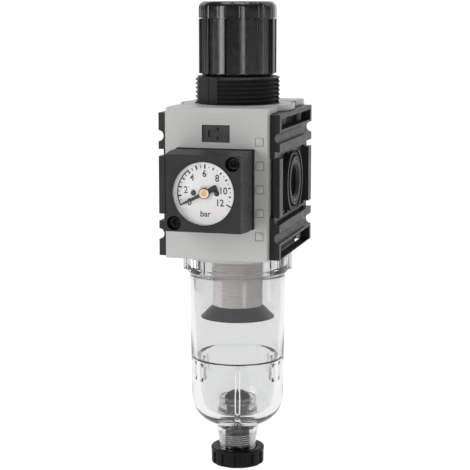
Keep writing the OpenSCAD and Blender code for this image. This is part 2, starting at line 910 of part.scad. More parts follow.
module gauge_socket() {
    tube_y = movement_y + 3.8;
    color([0.8, 0.64, 0.3]) translate([0, 0, socket_z]) difference() {
        union() {
            rod_y(2.5, tube_y - 0.2, cavity_y);
            rod_y(2.9, cavity_y - eps, gauge_back + 1);
            span([-1.5, tube_y - 0.2, 1], [1.5, tube_y + tube_w, 3.4]);
            rod_y(3.2, gauge_back + 1 - eps, gauge_back + 9.6);
        }
        rod_y(0.9, gauge_front + 11, gauge_back + 12);
        difference() {
            rod_y(4, gauge_back + 5, gauge_back + 6.6);
            rod_y(2.3, gauge_back + 4, gauge_back + 8);
        }
    }
}

module gauge_oring() {
    color([0.08, 0.08, 0.08]) translate([0, gauge_back + 5.8, socket_z]) rotate([90, 0, 0])
        rotate_extrude() translate([2.8, 0]) circle(r = 0.45, $fn = 24);
}

// ---------------------------------------------------------------- filter

module swirl_ring() {
    blades = 12;
    color([0.82, 0.8, 0.75]) {
        ring(13.1, 9.8, filter_top, filter_top + 1);
        ring(9.9, filter_d / 2 - 1, filter_top, socket_roof - 0.1);
        for (i = [0:blades - 1])
            rotate([0, 0, i * 360 / blades]) translate([9.5, -0.4, filter_top + 0.9])
                rotate([-25, 0, 0]) cube([3.4, 0.8, 2.4]);
    }
}

module filter_element() {
    color([0.82, 0.78, 0.72]) ring(filter_d / 2, filter_d / 2 - 2.4, filter_low, filter_top);
}

module filter_stud() {
    color([0.85, 0.85, 0.82]) {
        ring(2.45, 0, -76, guide_low + 4.4);
        ring(6, 0, filter_low + 0.05, filter_low + 1.2);
    }
}

module baffle() {
    hub_r = filter_d / 2 + 0.3;
    color([0.25, 0.2, 0.17]) difference() {
        union() {
            ring(baffle_d / 2, 0, baffle_low, baffle_rim);
            translate([0, 0, baffle_rim - eps])
                cylinder(r1 = baffle_d / 2, r2 = hub_r, h = filter_low - baffle_rim);
        }
        ring(2.5, 0, -76, filter_low + 1);
    }
}

// ---------------------------------------------------------------- bowl and drain

// Outer outline of the bowl in radius and height, from the collar down
function bowl_outer() = [
    [bowl_r, -61.6], [bowl_r - 0.4, -104.5], [bowl_r - 0.9, -108.4],
    [bowl_r - 2, -111], [bowl_r - 4, -113.4], [bowl_r - 6.5, -115.3], [8.6, -bowl_floor],
    [7.7, -bowl_floor - 0.7], [7, -120.8], [6.7, -123.5], [6.6, neck_low]
];

// Inner outline of the bowl, from the neck up to the mouth
function bowl_inner() = [
    [neck_bore, neck_low], [neck_bore, -113.2], [9, -112.6], [11.4, -111], [12.8, -108.4],
    [13.3, -105], [13.6, step_z - 0.5], [15, step_z], [15.2, -61.6], [bowl_mouth_r, -58.5],
    [bowl_mouth_r, lug_top + 0.6]
];

module bowl() {
    color([0.9, 0.93, 0.95, 0.35]) rotate([0, 0, bowl_turn]) difference() {
        union() {
            rotate_extrude() polygon(concat(
                bowl_outer(), bowl_inner(),
                [[bowl_neck_r, lug_top + 0.6], [bowl_neck_r, -52.1], [collar_r, -52.1], [collar_r, -60.2]]
            ));
            for (turn = [0, 180])
                rotate([0, 0, turn + 90 - lug_arc / 2]) translate([0, 0, lug_low])
                    rotate_extrude(angle = lug_arc) translate([bowl_neck_r - 0.5, 0])
                        square([lug_r - bowl_neck_r + 0.5, lug_top - lug_low]);
            // grip ribs on the collar
            for (side = [0, 180]) for (rib = [-6, 6]) rotate([0, 0, side + rib])
                span([collar_r - 0.5, -0.7, -59.4], [19.6, 0.7, -53.4]);
            both_y() span([-0.6, -14.6, -112], [0.6, -12.6, step_z - 0.2]);
        }
        ring(bowl_neck_r + 1, bowl_neck_r - 0.75, -50.4, -48.8);
    }
}

module bowl_oring() {
    color([0.08, 0.08, 0.08]) oring(bowl_neck_r - 0.2, 0.52, -49.6);
}

module drain_seat() {
    cup_r = 6.75;
    color([0.9, 0.9, 0.88]) difference() {
        union() {
            ring(7.4, 0, -112.6, -111.4);
            ring(cup_r, 0, -111.5, -106.9);
            ring(neck_bore - fit, 0, -114.4, -112.5);
        }
        ring(stem_out + 0.1, 0, -116, -106);
        ring(cup_r - 1, 0, seat_z, -106);
    }
}

module drain_seal() {
    color([0.06, 0.06, 0.06]) ring(4.65, 3.05, seat_z + fit, head_low - 0.3);
}

module drain_stem() {
    dome_low = -107;
    dome_h = 2.1;
    color([0.07, 0.07, 0.07]) difference() {
        union() {
            ring(stem_out, 0, -drain_bottom + 0.2, seat_z);
            ring(2.95, 0, seat_z - 0.1, head_low + eps);
            ring(stem_head, 0, head_low, dome_low);
            translate([0, 0, dome_low - eps]) cylinder(r1 = stem_head, r2 = 1.9, h = dome_h);
            ring(5.6, 0, -118.4, -117.4);
        }
        // drain channel and its cross slot
        ring(1.3, 0, -drain_bottom - 1, -112);
        span([-6, -0.6, -105.6], [6, 0.6, -104]);
    }
}

// Light washer between the stem's head and its seal
module drain_washer() {
    color([0.85, 0.84, 0.8]) ring(4.5, 3.05, head_low - 0.28, head_low - 0.02);
}

module drain_spring() {
    color([0.7, 0.72, 0.74]) coil(5.05, 0.3, -117.4, -114.4, 4);
}

module drain_knob() {
    flutes = 12;
    flute_r = 1.5;
    chamfer = 0.7;
    color([0.07, 0.07, 0.07]) difference() {
        union() {
            ring(drain_d / 2, 0, -drain_bottom + chamfer, drain_top);
            translate([0, 0, -drain_bottom])
                cylinder(r1 = drain_d / 2 - chamfer, r2 = drain_d / 2, h = chamfer + eps);
        }
        ring(knob_bore, 0, neck_low - 0.1, drain_top + 1);
        ring(stem_out + fit, 0, -drain_bottom - 1, drain_top);
        for (i = [0:flutes - 1])
            rotate([0, 0, (i + 0.5) * 360 / flutes])
                translate([drain_d / 2 + flute_r - 0.6, 0, -drain_bottom - 1])
                    cylinder(r = flute_r, h = drain_h, $fn = 24);
    }
}

knob();
knob_cap();
detent_ring();
spindle();
thrust_washer();
spring_nut();
regulating_spring();
bonnet();
diaphragm();
diaphragm_plate();
relief_seat();
valve_seat();
valve_stem();
valve_disc();
valve_spring();
valve_guide();
guide_oring();
body_core();
head_plate();
head_ring();
front_cover();
rear_cover();
left_frame();
right_frame();
inlet_insert();
outlet_insert();
port_orings();
arrow_plate();
rear_screws();
rear_plug();
gauge_housing();
gauge_gasket();
gauge_bezel();
gauge_lens();
gauge_dial();
dial_rivets();
gauge_pointer();
pointer_pinion();
sector_gear();
gauge_link();
movement_plates();
bourdon_tube();
gauge_socket();
gauge_oring();
gauge_screws();
swirl_ring();
filter_element();
filter_stud();
baffle();
bowl();
bowl_oring();
drain_seat();
drain_stem();
drain_washer();
drain_seal();
drain_spring();
drain_knob();
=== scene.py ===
import bpy
import bmesh
import json
import math
from mathutils import Matrix, Vector


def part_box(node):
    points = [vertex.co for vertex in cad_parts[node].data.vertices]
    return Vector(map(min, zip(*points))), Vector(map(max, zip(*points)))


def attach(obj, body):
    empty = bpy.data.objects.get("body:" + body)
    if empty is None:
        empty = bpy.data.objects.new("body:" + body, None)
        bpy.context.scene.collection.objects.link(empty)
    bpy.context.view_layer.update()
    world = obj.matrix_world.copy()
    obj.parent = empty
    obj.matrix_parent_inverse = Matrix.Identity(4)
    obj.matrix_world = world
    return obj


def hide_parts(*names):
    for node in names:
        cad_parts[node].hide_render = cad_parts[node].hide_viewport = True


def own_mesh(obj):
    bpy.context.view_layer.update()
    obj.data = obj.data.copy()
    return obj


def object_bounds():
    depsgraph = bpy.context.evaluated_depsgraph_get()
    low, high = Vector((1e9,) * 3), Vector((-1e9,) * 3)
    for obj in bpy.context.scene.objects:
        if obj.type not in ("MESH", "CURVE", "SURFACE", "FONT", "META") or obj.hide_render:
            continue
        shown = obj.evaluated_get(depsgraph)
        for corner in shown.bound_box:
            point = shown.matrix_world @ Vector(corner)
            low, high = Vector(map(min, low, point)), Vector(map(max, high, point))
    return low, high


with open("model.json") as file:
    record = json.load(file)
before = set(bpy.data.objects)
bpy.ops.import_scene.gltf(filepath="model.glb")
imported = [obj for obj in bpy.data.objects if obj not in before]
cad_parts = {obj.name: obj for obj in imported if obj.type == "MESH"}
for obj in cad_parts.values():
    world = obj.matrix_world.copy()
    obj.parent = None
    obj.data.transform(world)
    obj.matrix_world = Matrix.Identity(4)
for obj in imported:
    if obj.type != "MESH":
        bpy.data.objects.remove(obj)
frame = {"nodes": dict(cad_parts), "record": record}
cad_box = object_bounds()

# Profiles are in millimetres. Edges that turn by more than CREASE are rounded off.
MM = 0.001
TAU = 2 * math.pi
CREASE = math.radians(34)
BODY_OF = {
    node: body
    for body, nodes in frame["record"]["behaviour"]["bodies"].items()
    for node in nodes
}


# ------------------------------------------------------------------ shader helpers

def shader(name, color, rough, metallic=0.0, specular=0.5):
    """A material with one Principled shader, its node tree and that shader."""
    mat = bpy.data.materials.new(name)
    mat.use_nodes = True
    tree = mat.node_tree
    bsdf = tree.nodes["Principled BSDF"]
    bsdf.inputs["Base Color"].default_value = (*color, 1)
    bsdf.inputs["Roughness"].default_value = rough
    bsdf.inputs["Metallic"].default_value = metallic
    bsdf.inputs["Specular IOR Level"].default_value = specular
    return mat, tree, bsdf


def noise(tree, scale, detail=4.0, stretch=(1, 1, 1)):
    """Noise in the object's own space, in cycles per metre."""
    coord = tree.nodes.new("ShaderNodeTexCoord")
    mapping = tree.nodes.new("ShaderNodeMapping")
    mapping.inputs["Scale"].default_value = stretch
    tex = tree.nodes.new("ShaderNodeTexNoise")
    tex.inputs["Scale"].default_value = scale
    tex.inputs["Detail"].default_value = detail
    tree.links.new(coord.outputs["Object"], mapping.inputs["Vector"])
    tree.links.new(mapping.outputs["Vector"], tex.inputs["Vector"])
    return tex.outputs["Fac"]


def mottle(tree, bsdf, low, high, scale, spread=0.25, stretch=(1, 1, 1)):
    """Base colour that drifts between two tones."""
    ramp = tree.nodes.new("ShaderNodeValToRGB")
    ramp.color_ramp.elements[0].position = 0.5 - spread
    ramp.color_ramp.elements[0].color = (*low, 1)
    ramp.color_ramp.elements[1].position = 0.5 + spread
    ramp.color_ramp.elements[1].color = (*high, 1)
    tree.links.new(noise(tree, scale, 6.0, stretch), ramp.inputs["Fac"])
    tree.links.new(ramp.outputs["Color"], bsdf.inputs["Base Color"])


def vary_rough(tree, bsdf, low, high, scale, stretch=(1, 1, 1)):
    """Roughness that drifts between two values."""
    span = tree.nodes.new("ShaderNodeMapRange")
    span.inputs["From Min"].default_value = 0.3
    span.inputs["From Max"].default_value = 0.7
    span.inputs["To Min"].default_value = low
    span.inputs["To Max"].default_value = high
    tree.links.new(noise(tree, scale, 5.0, stretch), span.inputs["Value"])
    tree.links.new(span.outputs["Result"], bsdf.inputs["Roughness"])


def grain(tree, bsdf, scale, depth, strength, stretch=(1, 1, 1)):
    """Fine relief of a moulded, blasted or turned surface."""
    bump = tree.nodes.new("ShaderNodeBump")
    bump.inputs["Strength"].default_value = strength
    bump.inputs["Distance"].default_value = depth * MM
    tree.links.new(noise(tree, scale, 3.0, stretch), bump.inputs["Height"])
    tree.links.new(bump.outputs["Normal"], bsdf.inputs["Normal"])


# ------------------------------------------------------------------ materials

def cover_grey():
    mat, tree, bsdf = shader("cover_grey", (0.47, 0.47, 0.445), 0.4)
    mottle(tree, bsdf, (0.462, 0.462, 0.438), (0.482, 0.482, 0.458), 60)
    vary_rough(tree, bsdf, 0.36, 0.46, 400)
    grain(tree, bsdf, 5200, 0.02, 0.25)
    return mat


def black_plastic():
    mat, tree, bsdf = shader("black_plastic", (0.02, 0.02, 0.021), 0.42, 0.0, 0.28)
    mottle(tree, bsdf, (0.014, 0.014, 0.0145), (0.021, 0.021, 0.022), 140)
    vary_rough(tree, bsdf, 0.34, 0.5, 500)
    grain(tree, bsdf, 4200, 0.03, 0.35)
    return mat


def knob_black():
    mat, tree, bsdf = shader("knob_black", (0.012, 0.012, 0.012), 0.22, 0.0, 0.8)
    mottle(tree, bsdf, (0.004, 0.004, 0.004), (0.007, 0.007, 0.007), 90)
    vary_rough(tree, bsdf, 0.18, 0.27, 350)
    grain(tree, bsdf, 3000, 0.012, 0.15)
    return mat


def drain_black():
    mat, tree, bsdf = shader("drain_black", (0.006, 0.006, 0.006), 0.4, 0.0, 0.12)
    mottle(tree, bsdf, (0.004, 0.004, 0.004), (0.008, 0.008, 0.008), 120)
    vary_rough(tree, bsdf, 0.34, 0.48, 400)
    grain(tree, bsdf, 3000, 0.012, 0.15)
    return mat


def core_black():
    mat, tree, bsdf = shader("core_black", (0.03, 0.03, 0.032), 0.4, 0.0, 0.35)
    mottle(tree, bsdf, (0.022, 0.022, 0.023), (0.032, 0.032, 0.034), 220, 0.2, (1, 1, 3))
    vary_rough(tree, bsdf, 0.32, 0.5, 600)
    grain(tree, bsdf, 3500, 0.03, 0.4)
    return mat


def rubber():
    mat, tree, bsdf = shader("rubber", (0.008, 0.008, 0.008), 0.6, 0.0, 0.25)
    mottle(tree, bsdf, (0.006, 0.006, 0.006), (0.01, 0.01, 0.01), 300)
    vary_rough(tree, bsdf, 0.5, 0.68, 700)
    return mat


def steel():
    mat, tree, bsdf = shader("steel", (0.56, 0.57, 0.58), 0.28, 1.0)
    mottle(tree, bsdf, (0.5, 0.51, 0.52), (0.6, 0.61, 0.62), 300)
    vary_rough(tree, bsdf, 0.2, 0.34, 900, (1, 1, 0.2))
    return mat


def brass():
    mat, tree, bsdf = shader("brass", (0.71, 0.52, 0.27), 0.26, 1.0)
    mottle(tree, bsdf, (0.66, 0.46, 0.22), (0.76, 0.57, 0.3), 250)
    vary_rough(tree, bsdf, 0.2, 0.36, 900, (1, 1, 6))
    return mat


def copper():
    mat, tree, bsdf = shader("hub_copper", (0.62, 0.33, 0.22), 0.3, 1.0)
    mottle(tree, bsdf, (0.78, 0.55, 0.43), (0.86, 0.65, 0.53), 700)
    vary_rough(tree, bsdf, 0.24, 0.4, 1500)
    return mat


def clear_plastic():
    mat, tree, bsdf = shader("clear_plastic", (0.79, 0.795, 0.795), 0.02)
    bsdf.inputs["Transmission Weight"].default_value = 1.0
    bsdf.inputs["IOR"].default_value = 1.49
    vary_rough(tree, bsdf, 0.0, 0.035, 160)
    grain(tree, bsdf, 220, 0.02, 0.06, (1, 1, 0.4))
    return mat


def lens_plastic():
    mat, tree, bsdf = shader("lens_plastic", (0.99, 0.99, 0.99), 0.02)
    bsdf.inputs["Transmission Weight"].default_value = 1.0
    bsdf.inputs["IOR"].default_value = 1.18
    vary_rough(tree, bsdf, 0.0, 0.02, 120)
    return mat


def white_plastic():
    mat, tree, bsdf = shader("white_plastic", (0.75, 0.75, 0.72), 0.35)
    mottle(tree, bsdf, (0.72, 0.72, 0.69), (0.78, 0.78, 0.76), 150)
    vary_rough(tree, bsdf, 0.3, 0.42, 600)
    bsdf.inputs["Subsurface Weight"].default_value = 0.15
    bsdf.inputs["Subsurface Scale"].default_value = 0.001
    return mat


def dial_white():
    mat, tree, bsdf = shader("dial_white", (0.88, 0.87, 0.86), 0.45)
    mottle(tree, bsdf, (0.87, 0.86, 0.85), (0.9, 0.89, 0.88), 90)
    vary_rough(tree, bsdf, 0.4, 0.5, 500)
    return mat


def pointer_black():
    mat, tree, bsdf = shader("pointer_black", (0.02, 0.018, 0.018), 0.35)
    mottle(tree, bsdf, (0.016, 0.014, 0.014), (0.03, 0.026, 0.026), 400)
    vary_rough(tree, bsdf, 0.3, 0.45, 700)
    return mat


# Black of the dial's print; the same black draws the arc of painted shade on the dial.
def print_and_painted_shade_black():
    mat, tree, bsdf = shader("print_and_painted_shade_black", (0.02, 0.02, 0.022), 0.5)
    mottle(tree, bsdf, (0.016, 0.016, 0.018), (0.028, 0.028, 0.03), 900)
    vary_rough(tree, bsdf, 0.45, 0.6, 900)
    return mat


def filter_beige():
    mat, tree, bsdf = shader("filter_beige", (0.9, 0.86, 0.81), 0.75, 0.0, 0.2)
    mottle(tree, bsdf, (0.86, 0.82, 0.77), (0.93, 0.89, 0.84), 500, 0.25, (1, 1, 0.3))
    vary_rough(tree, bsdf, 0.5, 0.7, 900)
    grain(tree, bsdf, 2600, 0.05, 0.5)
    return mat


def baffle_brown():
    mat, tree, bsdf = shader("baffle_brown", (0.016, 0.012, 0.01), 0.35, 0.0, 0.2)
    mottle(tree, bsdf, (0.01, 0.008, 0.007), (0.02, 0.015, 0.013), 200)
    vary_rough(tree, bsdf, 0.28, 0.45, 500)
    return mat


def arrow_grey():
    mat, tree, bsdf = shader("arrow_grey", (0.04, 0.04, 0.04), 0.5, 0.0, 0.3)
    mottle(tree, bsdf, (0.036, 0.036, 0.036), (0.048, 0.048, 0.048), 250)
    vary_rough(tree, bsdf, 0.4, 0.55, 600)
    grain(tree, bsdf, 4200, 0.02, 0.3)
    return mat


MATERIALS = {
    "cover_grey": cover_grey(),
    "black_plastic": black_plastic(),
    "knob_black": knob_black(),
    "drain_black": drain_black(),
    "core_black": core_black(),
    "rubber": rubber(),
    "steel": steel(),
    "brass": brass(),
    "clear_plastic": clear_plastic(),
    "white_plastic": white_plastic(),
    "dial_white": dial_white(),
    "pointer_black": pointer_black(),
    "filter_beige": filter_beige(),
    "baffle_brown": baffle_brown(),
    "arrow_grey": arrow_grey(),
}
COPPER = copper()
PRINT_AND_SHADE = print_and_painted_shade_black()
LENS = lens_plastic()


# ------------------------------------------------------------------ mesh helpers

def shade(mesh, angle=32):
    """Smooth shading with creases only where faces meet at more than the angle."""
    bm = bmesh.new()
    bm.from_mesh(mesh)
    bmesh.ops.remove_doubles(bm, verts=bm.verts, dist=0.0005 * MM)
    bmesh.ops.dissolve_degenerate(bm, edges=bm.edges, dist=0.0002 * MM)
    bmesh.ops.recalc_face_normals(bm, faces=bm.faces)
    limit = math.radians(angle)
    for face in bm.faces:
        face.smooth = True
    for edge in bm.edges:
        edge.smooth = edge.calc_face_angle(0.0) < limit
    bm.to_mesh(mesh)
    bm.free()


def place(mesh, name, material):
    """A new object for a mesh, in the shared frame."""
    obj = bpy.data.objects.new(name, mesh)
    bpy.context.scene.collection.objects.link(obj)
    mesh.materials.clear()
    mesh.materials.append(material)
    return obj


def build(name, verts, faces, material, angle=32):
    """An object from points in millimetres and faces."""
    mesh = bpy.data.meshes.new(name)
    mesh.from_pydata([Vector(v) * MM for v in verts], [], faces)
    shade(mesh, angle)
    return place(mesh, name, material)


def stands_for(obj, body, slot, *nodes):
    """Ties a modelled piece to its CAD body and nodes. The material slot is not used."""
    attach(obj, body)
    if nodes:
        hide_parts(*nodes)
    return obj


def turned(profile, angles, shape=None):
    """Points and faces of a closed profile of (radius, height) turned about Z."""
    verts = []
    faces = []
    size = len(profile)
    for a in angles:
        for k, (r, z) in enumerate(profile):
            if shape:
                r, z = shape(k, r, z, a)
            verts.append((r * math.cos(a), r * math.sin(a), z))
    for i in range(len(angles)):
        j = (i + 1) % len(angles)
        for k in range(size):
            n = (k + 1) % size
            faces.append((i * size + k, j * size + k, j * size + n, i * size + n))
    return verts, faces


def even(count):
    """Evenly spaced directions round a full turn."""
    return [TAU * i / count for i in range(count)]


def fine_angles(step, near, half, fine):
    """Even angles in degrees with closer ones near some directions, in radians."""
    found = {round(i * step, 3) for i in range(int(360 / step))}
    for centre in near:
        count = int(half / fine)
        for i in range(-count, count + 1):
            found.add(round((centre + i * fine) % 360, 3))
    kept = []
    for value in sorted(found):
        if not kept or value - kept[-1] > fine * 0.4:
            kept.append(value)
    return [math.radians(v) for v in kept]


def smoothstep(low, high, x):
    """Smooth rise from 0 to 1 between two values."""
    t = min(1.0, max(0.0, (x - low) / (high - low)))
    return t * t * (3 - 2 * t)


def ridge_at(z, a, pitch):
    """Height on a thread's flank, from 0 in the root to 1 on the crest."""
    t = ((z - pitch * a / TAU) / pitch) % 1.0
    return 1 - abs(2 * t - 1)


def off_angle(a, centre):
    """Signed difference of two directions, in degrees."""
    d = math.degrees(a) - centre
    return (d + 180) % 360 - 180


def round_off(points):
    """Cuts the corners of an open run of points twice, keeping its ends."""
    for _ in range(2):
        out = [points[0]]
        for (r0, z0), (r1, z1) in zip(points, points[1:]):
            out.append((0.75 * r0 + 0.25 * r1, 0.75 * z0 + 0.25 * z1))
            out.append((0.25 * r0 + 0.75 * r1, 0.25 * z0 + 0.75 * z1))
        out.append(points[-1])
        points = out
    return points


def corner(r, z, size, start, end, count=4):
    """Points of a rounded edge about a centre, from one direction to another in degrees."""
    out = []
    for i in range(count + 1):
        a = math.radians(start + (end - start) * i / count)
        out.append((r + size * math.cos(a), z + size * math.sin(a)))
    return out


def helix(name, radius, wire, low, high, turns, material, sides=10):
    """A coil spring with closed end turns."""
    steps = int(turns * 36)
    verts = []
    faces = []
    for i in range(steps + 1):
        t = i / steps
        ease = smoothstep(0.0, 1.0, (t * turns - 0.8) / (turns - 1.6)) * 0.35
        ease += 0.65 * min(1.0, max(0.0, (t * turns - 0.8) / (turns - 1.6)))
        z = low + wire + (high - low - 2 * wire) * ease
        a = TAU * turns * t
        for k in range(sides):
            b = TAU * k / sides
            r = radius + wire * math.cos(b)
            verts.append((r * math.cos(a), r * math.sin(a), z + wire * math.sin(b)))
    for i in range(steps):
        for k in range(sides):
            n = (k + 1) % sides
            faces.append((i * sides + k, (i + 1) * sides + k, (i + 1) * sides + n, i * sides + n))
    faces.append(tuple(range(sides)))
    faces.append(tuple(steps * sides + k for k in reversed(range(sides))))
    return build(name, verts, faces, material, 60)


def softened(node, slot, width, crisp=None):
    """A CAD node's shape with its edges rounded off, standing for the node.

    Edges whose middle lies in the crisp box, in millimetres, keep their sharpness.
    """
    mesh = frame["nodes"][node].data.copy()
    bm = bmesh.new()
    bm.from_mesh(mesh)
    bmesh.ops.remove_doubles(bm, verts=bm.verts, dist=0.001 * MM)
    bmesh.ops.dissolve_limit(
        bm, angle_limit=math.radians(0.8), verts=bm.verts, edges=bm.edges
    )
    bmesh.ops.recalc_face_normals(bm, faces=bm.faces)
    for face in bm.faces:
        face.smooth = True
    weights = bm.edges.layers.float.new("bevel_weight_edge")
    for edge in bm.edges:
        turn = edge.calc_face_angle(0.0)
        middle = (edge.verts[0].co + edge.verts[1].co) / 2 / MM
        kept = crisp and all(crisp[0][i] < middle[i] < crisp[1][i] for i in range(3))
        edge.smooth = not (kept and turn > CREASE)
        edge[weights] = 1.0 if turn > CREASE and not kept else 0.0
    bm.to_mesh(mesh)
    bm.free()
    obj = place(mesh, node + "_piece", MATERIALS[slot])
    bevel = obj.modifiers.new("edges", "BEVEL")
    bevel.width = width * MM
    bevel.segments = 2
    bevel.limit_method = "WEIGHT"
    bevel.use_clamp_overlap = True
    bevel.harden_normals = True
    weighted = obj.modifiers.new("normals", "WEIGHTED_NORMAL")
    weighted.keep_sharp = False
    weighted.weight = 80
    return stands_for(obj, BODY_OF[node], slot, node)


def joined(name, pieces, material):
    """One object from several point and face lists."""
    verts = []
    faces = []
    for v, f in pieces:
        start = len(verts)
        verts += v
        faces += [tuple(start + i for i in face) for face in f]
    return build(name, verts, faces, material)


# ------------------------------------------------------------------ knob and panel thread

def knob():
    """Ribbed setting knob, open below, with a recess for its cap insert."""
    ribs = 12
    turn = 22.3
    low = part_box("knob")[0].z / MM
    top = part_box("knob")[1].z / MM
    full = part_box("knob")[1].x / MM
    core = full - 1.05
    shoulder = 29.6
    period = 360 / ribs
    offsets = [0, 2, 3.3, 3.9, 4.2, 4.5, 4.8, 5.1, 5.5, 6.4, 8.5, 11, 13]
    angles = []
    for i in range(ribs):
        centre = turn + i * period
        for d in [-x for x in offsets[:0:-1]] + offsets + [15]:
            angles.append(math.radians(centre + d))
    angles = sorted({round(a % TAU, 6) for a in angles})

    def across(a):
        d = abs(off_angle(a, turn) % period)
        return min(d, period - d)

    outer = [(11.35, low), (12.0, low), (core - 0.25, low), (core, low + 0.3)]
    outer += [(core, low + 0.3 + 0.15 * i) for i in range(1, 8)]
    outer += [(core, z) for z in (12.5, 15, 18, 21, 24, 27, 28.4, 29.2, shoulder - 0.22)]
    rib_rows = range(4, len(outer))
    outer += [(core - 0.1, shoulder - 0.16), (core - 0.1, shoulder)]
    cap_start = len(outer)
    outer += [(full, shoulder + 0.04), (full, 30.6), (full, 31.8)]
    outer += corner(full - 2.4, top - 2.4, 2.4, 0, 90, 9)
    outer += [(10.2, top), (9.65, top - 0.05), (9.6, top - 0.2), (9.6, top - 1.18), (0, top - 1.18)]
    cap_rows = range(cap_start, cap_start + 9)
    outer += [(0, 30.62), (9.0, 30.62), (11.3, 30.4), (11.3, 24), (11.3, 14), (11.3, low + 0.2)]

    def shape(k, r, z, a):
        d = across(a)
        if k in rib_rows:
            rise = 1 - smoothstep(4.1, 5.0, d)
            chamfer = min(1.0, max(0.0, (z - low - 0.05) / 0.45))
            hollow = 0.12 * smoothstep(6, 15, d)
            r = r + (full - core) * rise * chamfer - hollow * chamfer
        if k in cap_rows:
            r = r - 0.16 * smoothstep(3.6, 5.8, d) - 0.1 * smoothstep(6, 15, d)
        return r, z

    verts, faces = turned(outer, angles, shape)
    obj = build("knob_piece", verts, faces, MATERIALS["knob_black"], 42)
    return stands_for(obj, "knob", "knob_black", "knob")


def knob_cap():
    """Round insert in the top of the knob."""
    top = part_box("knob_cap")[1].z / MM
    profile = [(0, top - 1.05), (9.45, top - 1.05), (9.45, top - 0.2)]
    profile += corner(9.25, top - 0.2, 0.2, 0, 90, 3)
    profile += [(8.6, top), (8.5, top - 0.12), (8.2, top - 0.12), (8.1, top)]
    profile += [(4, top + 0.04), (0, top + 0.06)]
    verts, faces = turned(profile, even(96))
    obj = build("knob_cap_piece", verts, faces, MATERIALS["knob_black"], 40)
    return stands_for(obj, "knob", "knob_black", "knob_cap")


def bonnet():
    """Spring housing with its panel thread and a ribbed keying flat."""
    pitch = 1.5
    crest = 15.0
    root = 14.1
    last = 9.5
    lead_in = -1.7
    keyed = -121.7
    flat = 14.12
    flat_half = 18.5
    turns = [-1.0 + i * 0.25 for i in range(int((last / pitch + 2) * 4))]
    body = [(16.2, -5.0), (16.2, -2.1), (root, -2.1), (root, -1.8)]
    start = len(body)
    for t in turns:
        body.append((root, t))
    end = len(body)
    body += [(root, last), (10.7, last + 0.25), (10.6, last + 0.6), (10.6, 12.35), (9.8, 12.5)]
    body.append((9.7, 13))
    body += [(9.8, 13.5), (10.6, 13.65), (10.6, 24.1), (10.2, 24.5), (4.65, 24.5), (4.65, 21.5)]
    body += [(8.6, 21.5), (8.6, 5.9), (12.2, 5.9), (12.2, -5.0)]
    tooth = [0.0, 0.12, 0.86, 1.0, 0.86, 0.12]
    stops = [0.0, 0.1, 0.4, 0.5, 0.6, 0.9]

    def height(z):
        t = (z / pitch) % 1.0
        for k in range(5):
            if stops[k] <= t < stops[k + 1]:
                part = (t - stops[k]) / (stops[k + 1] - stops[k])
                return tooth[k] + (tooth[k + 1] - tooth[k]) * part
        return tooth[5] * (1 - (t - 0.9) / 0.1)

    def shape(k, r, z, a):
        if start <= k < end:
            lead = pitch * (math.degrees(a) % 360) / 360
            place_z = pitch * z + lead
            held = min(last, max(lead_in, place_z))
            run = smoothstep(lead_in, 0.2, held) * (1 - smoothstep(last - 0.35, last, held))
            r = root + (crest - root) * height(pitch * z + 0.75) * run
            z = held
            d = off_angle(a, keyed)
            if abs(d) < flat_half:
                r = flat / math.cos(math.radians(d))
        return r, z

    verts, faces = turned(body, even(240), shape)
    obj = build("bonnet_piece", verts, faces, MATERIALS["black_plastic"], 30)
    stands_for(obj, "housing", "black_plastic", "bonnet")
    mark = math.radians(keyed)
    along = Vector((math.cos(mark), math.sin(mark), 0))
    side = Vector((-math.sin(mark), math.cos(mark), 0))
    verts = []
    for z in (0.3, 9.2):
        for out, wide in ((13.9, -0.35), (14.32, -0.22), (14.32, 0.22), (13.9, 0.35)):
            verts.append(along * out + side * wide + Vector((0, 0, z)))
    faces = [(0, 1, 5, 4), (1, 2, 6, 5), (2, 3, 7, 6), (3, 2, 1, 0), (4, 5, 6, 7), (0, 4, 7, 3)]
    rib = build("bonnet_key_rib", verts, faces, MATERIALS["black_plastic"])
    return stands_for(rib, "housing", "black_plastic")


# ------------------------------------------------------------------ gauge

PORT_Z = (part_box("gauge_dial")[0].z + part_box("gauge_dial")[1].z) / 2 / MM
DIAL_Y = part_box("gauge_dial")[0].y / MM
# Scale of the dial: direction of 0 and sweep in degrees, top value in bar, print in mm.
SCALE_START = 206.5
SCALE_SWEEP = 233.0
SCALE_TOP = 12.0
PRINT_T = 0.02


def facing(depth):
    """Turns a piece drawn in X and Y, with Z up, to face out of the gauge at a depth."""
    move = Matrix.Translation(Vector((0, depth, PORT_Z)) * MM)
    return move @ Matrix.Rotation(math.radians(90), 4, "X")


def scale_angle(value):
    """Direction of a scale value on the dial, in radians."""
    return math.radians(SCALE_START - SCALE_SWEEP * value / SCALE_TOP)


def tick(value, r0, r1, width):
    """A printed mark of the scale, as points and faces."""
    a = scale_angle(value)
    u = Vector((math.cos(a), math.sin(a), 0))
    n = Vector((-math.sin(a), math.cos(a), 0))
    half = n * width / 2
    ring = [u * r0 - half, u * r1 - half, u * r1 + half, u * r0 + half]
    verts = [tuple(p) for p in ring] + [tuple(p + Vector((0, 0, PRINT_T))) for p in ring]
    faces = [(3, 2, 1, 0), (4, 5, 6, 7), (0, 1, 5, 4), (1, 2, 6, 5), (2, 3, 7, 6), (3, 0, 4, 7)]
    return verts, faces


def painted_shade_arc(from_value, to_value, r0, r1):
    """A dark arc along the scale, drawn as painted shade, as points and faces."""
    verts = []
    faces = []
    count = 60
    for i in range(count + 1):
        a = scale_angle(from_value + (to_value - from_value) * i / count)
        for r, z in ((r0, 0), (r1, 0), (r1, PRINT_T), (r0, PRINT_T)):
            verts.append((r * math.cos(a), r * math.sin(a), z))
    for i in range(count):
        for k in range(4):
            n = (k + 1) % 4
            faces.append((i * 4 + k, (i + 1) * 4 + k, (i + 1) * 4 + n, i * 4 + n))
    faces += [(0, 1, 2, 3), tuple(count * 4 + k for k in (3, 2, 1, 0))]
    return verts, faces


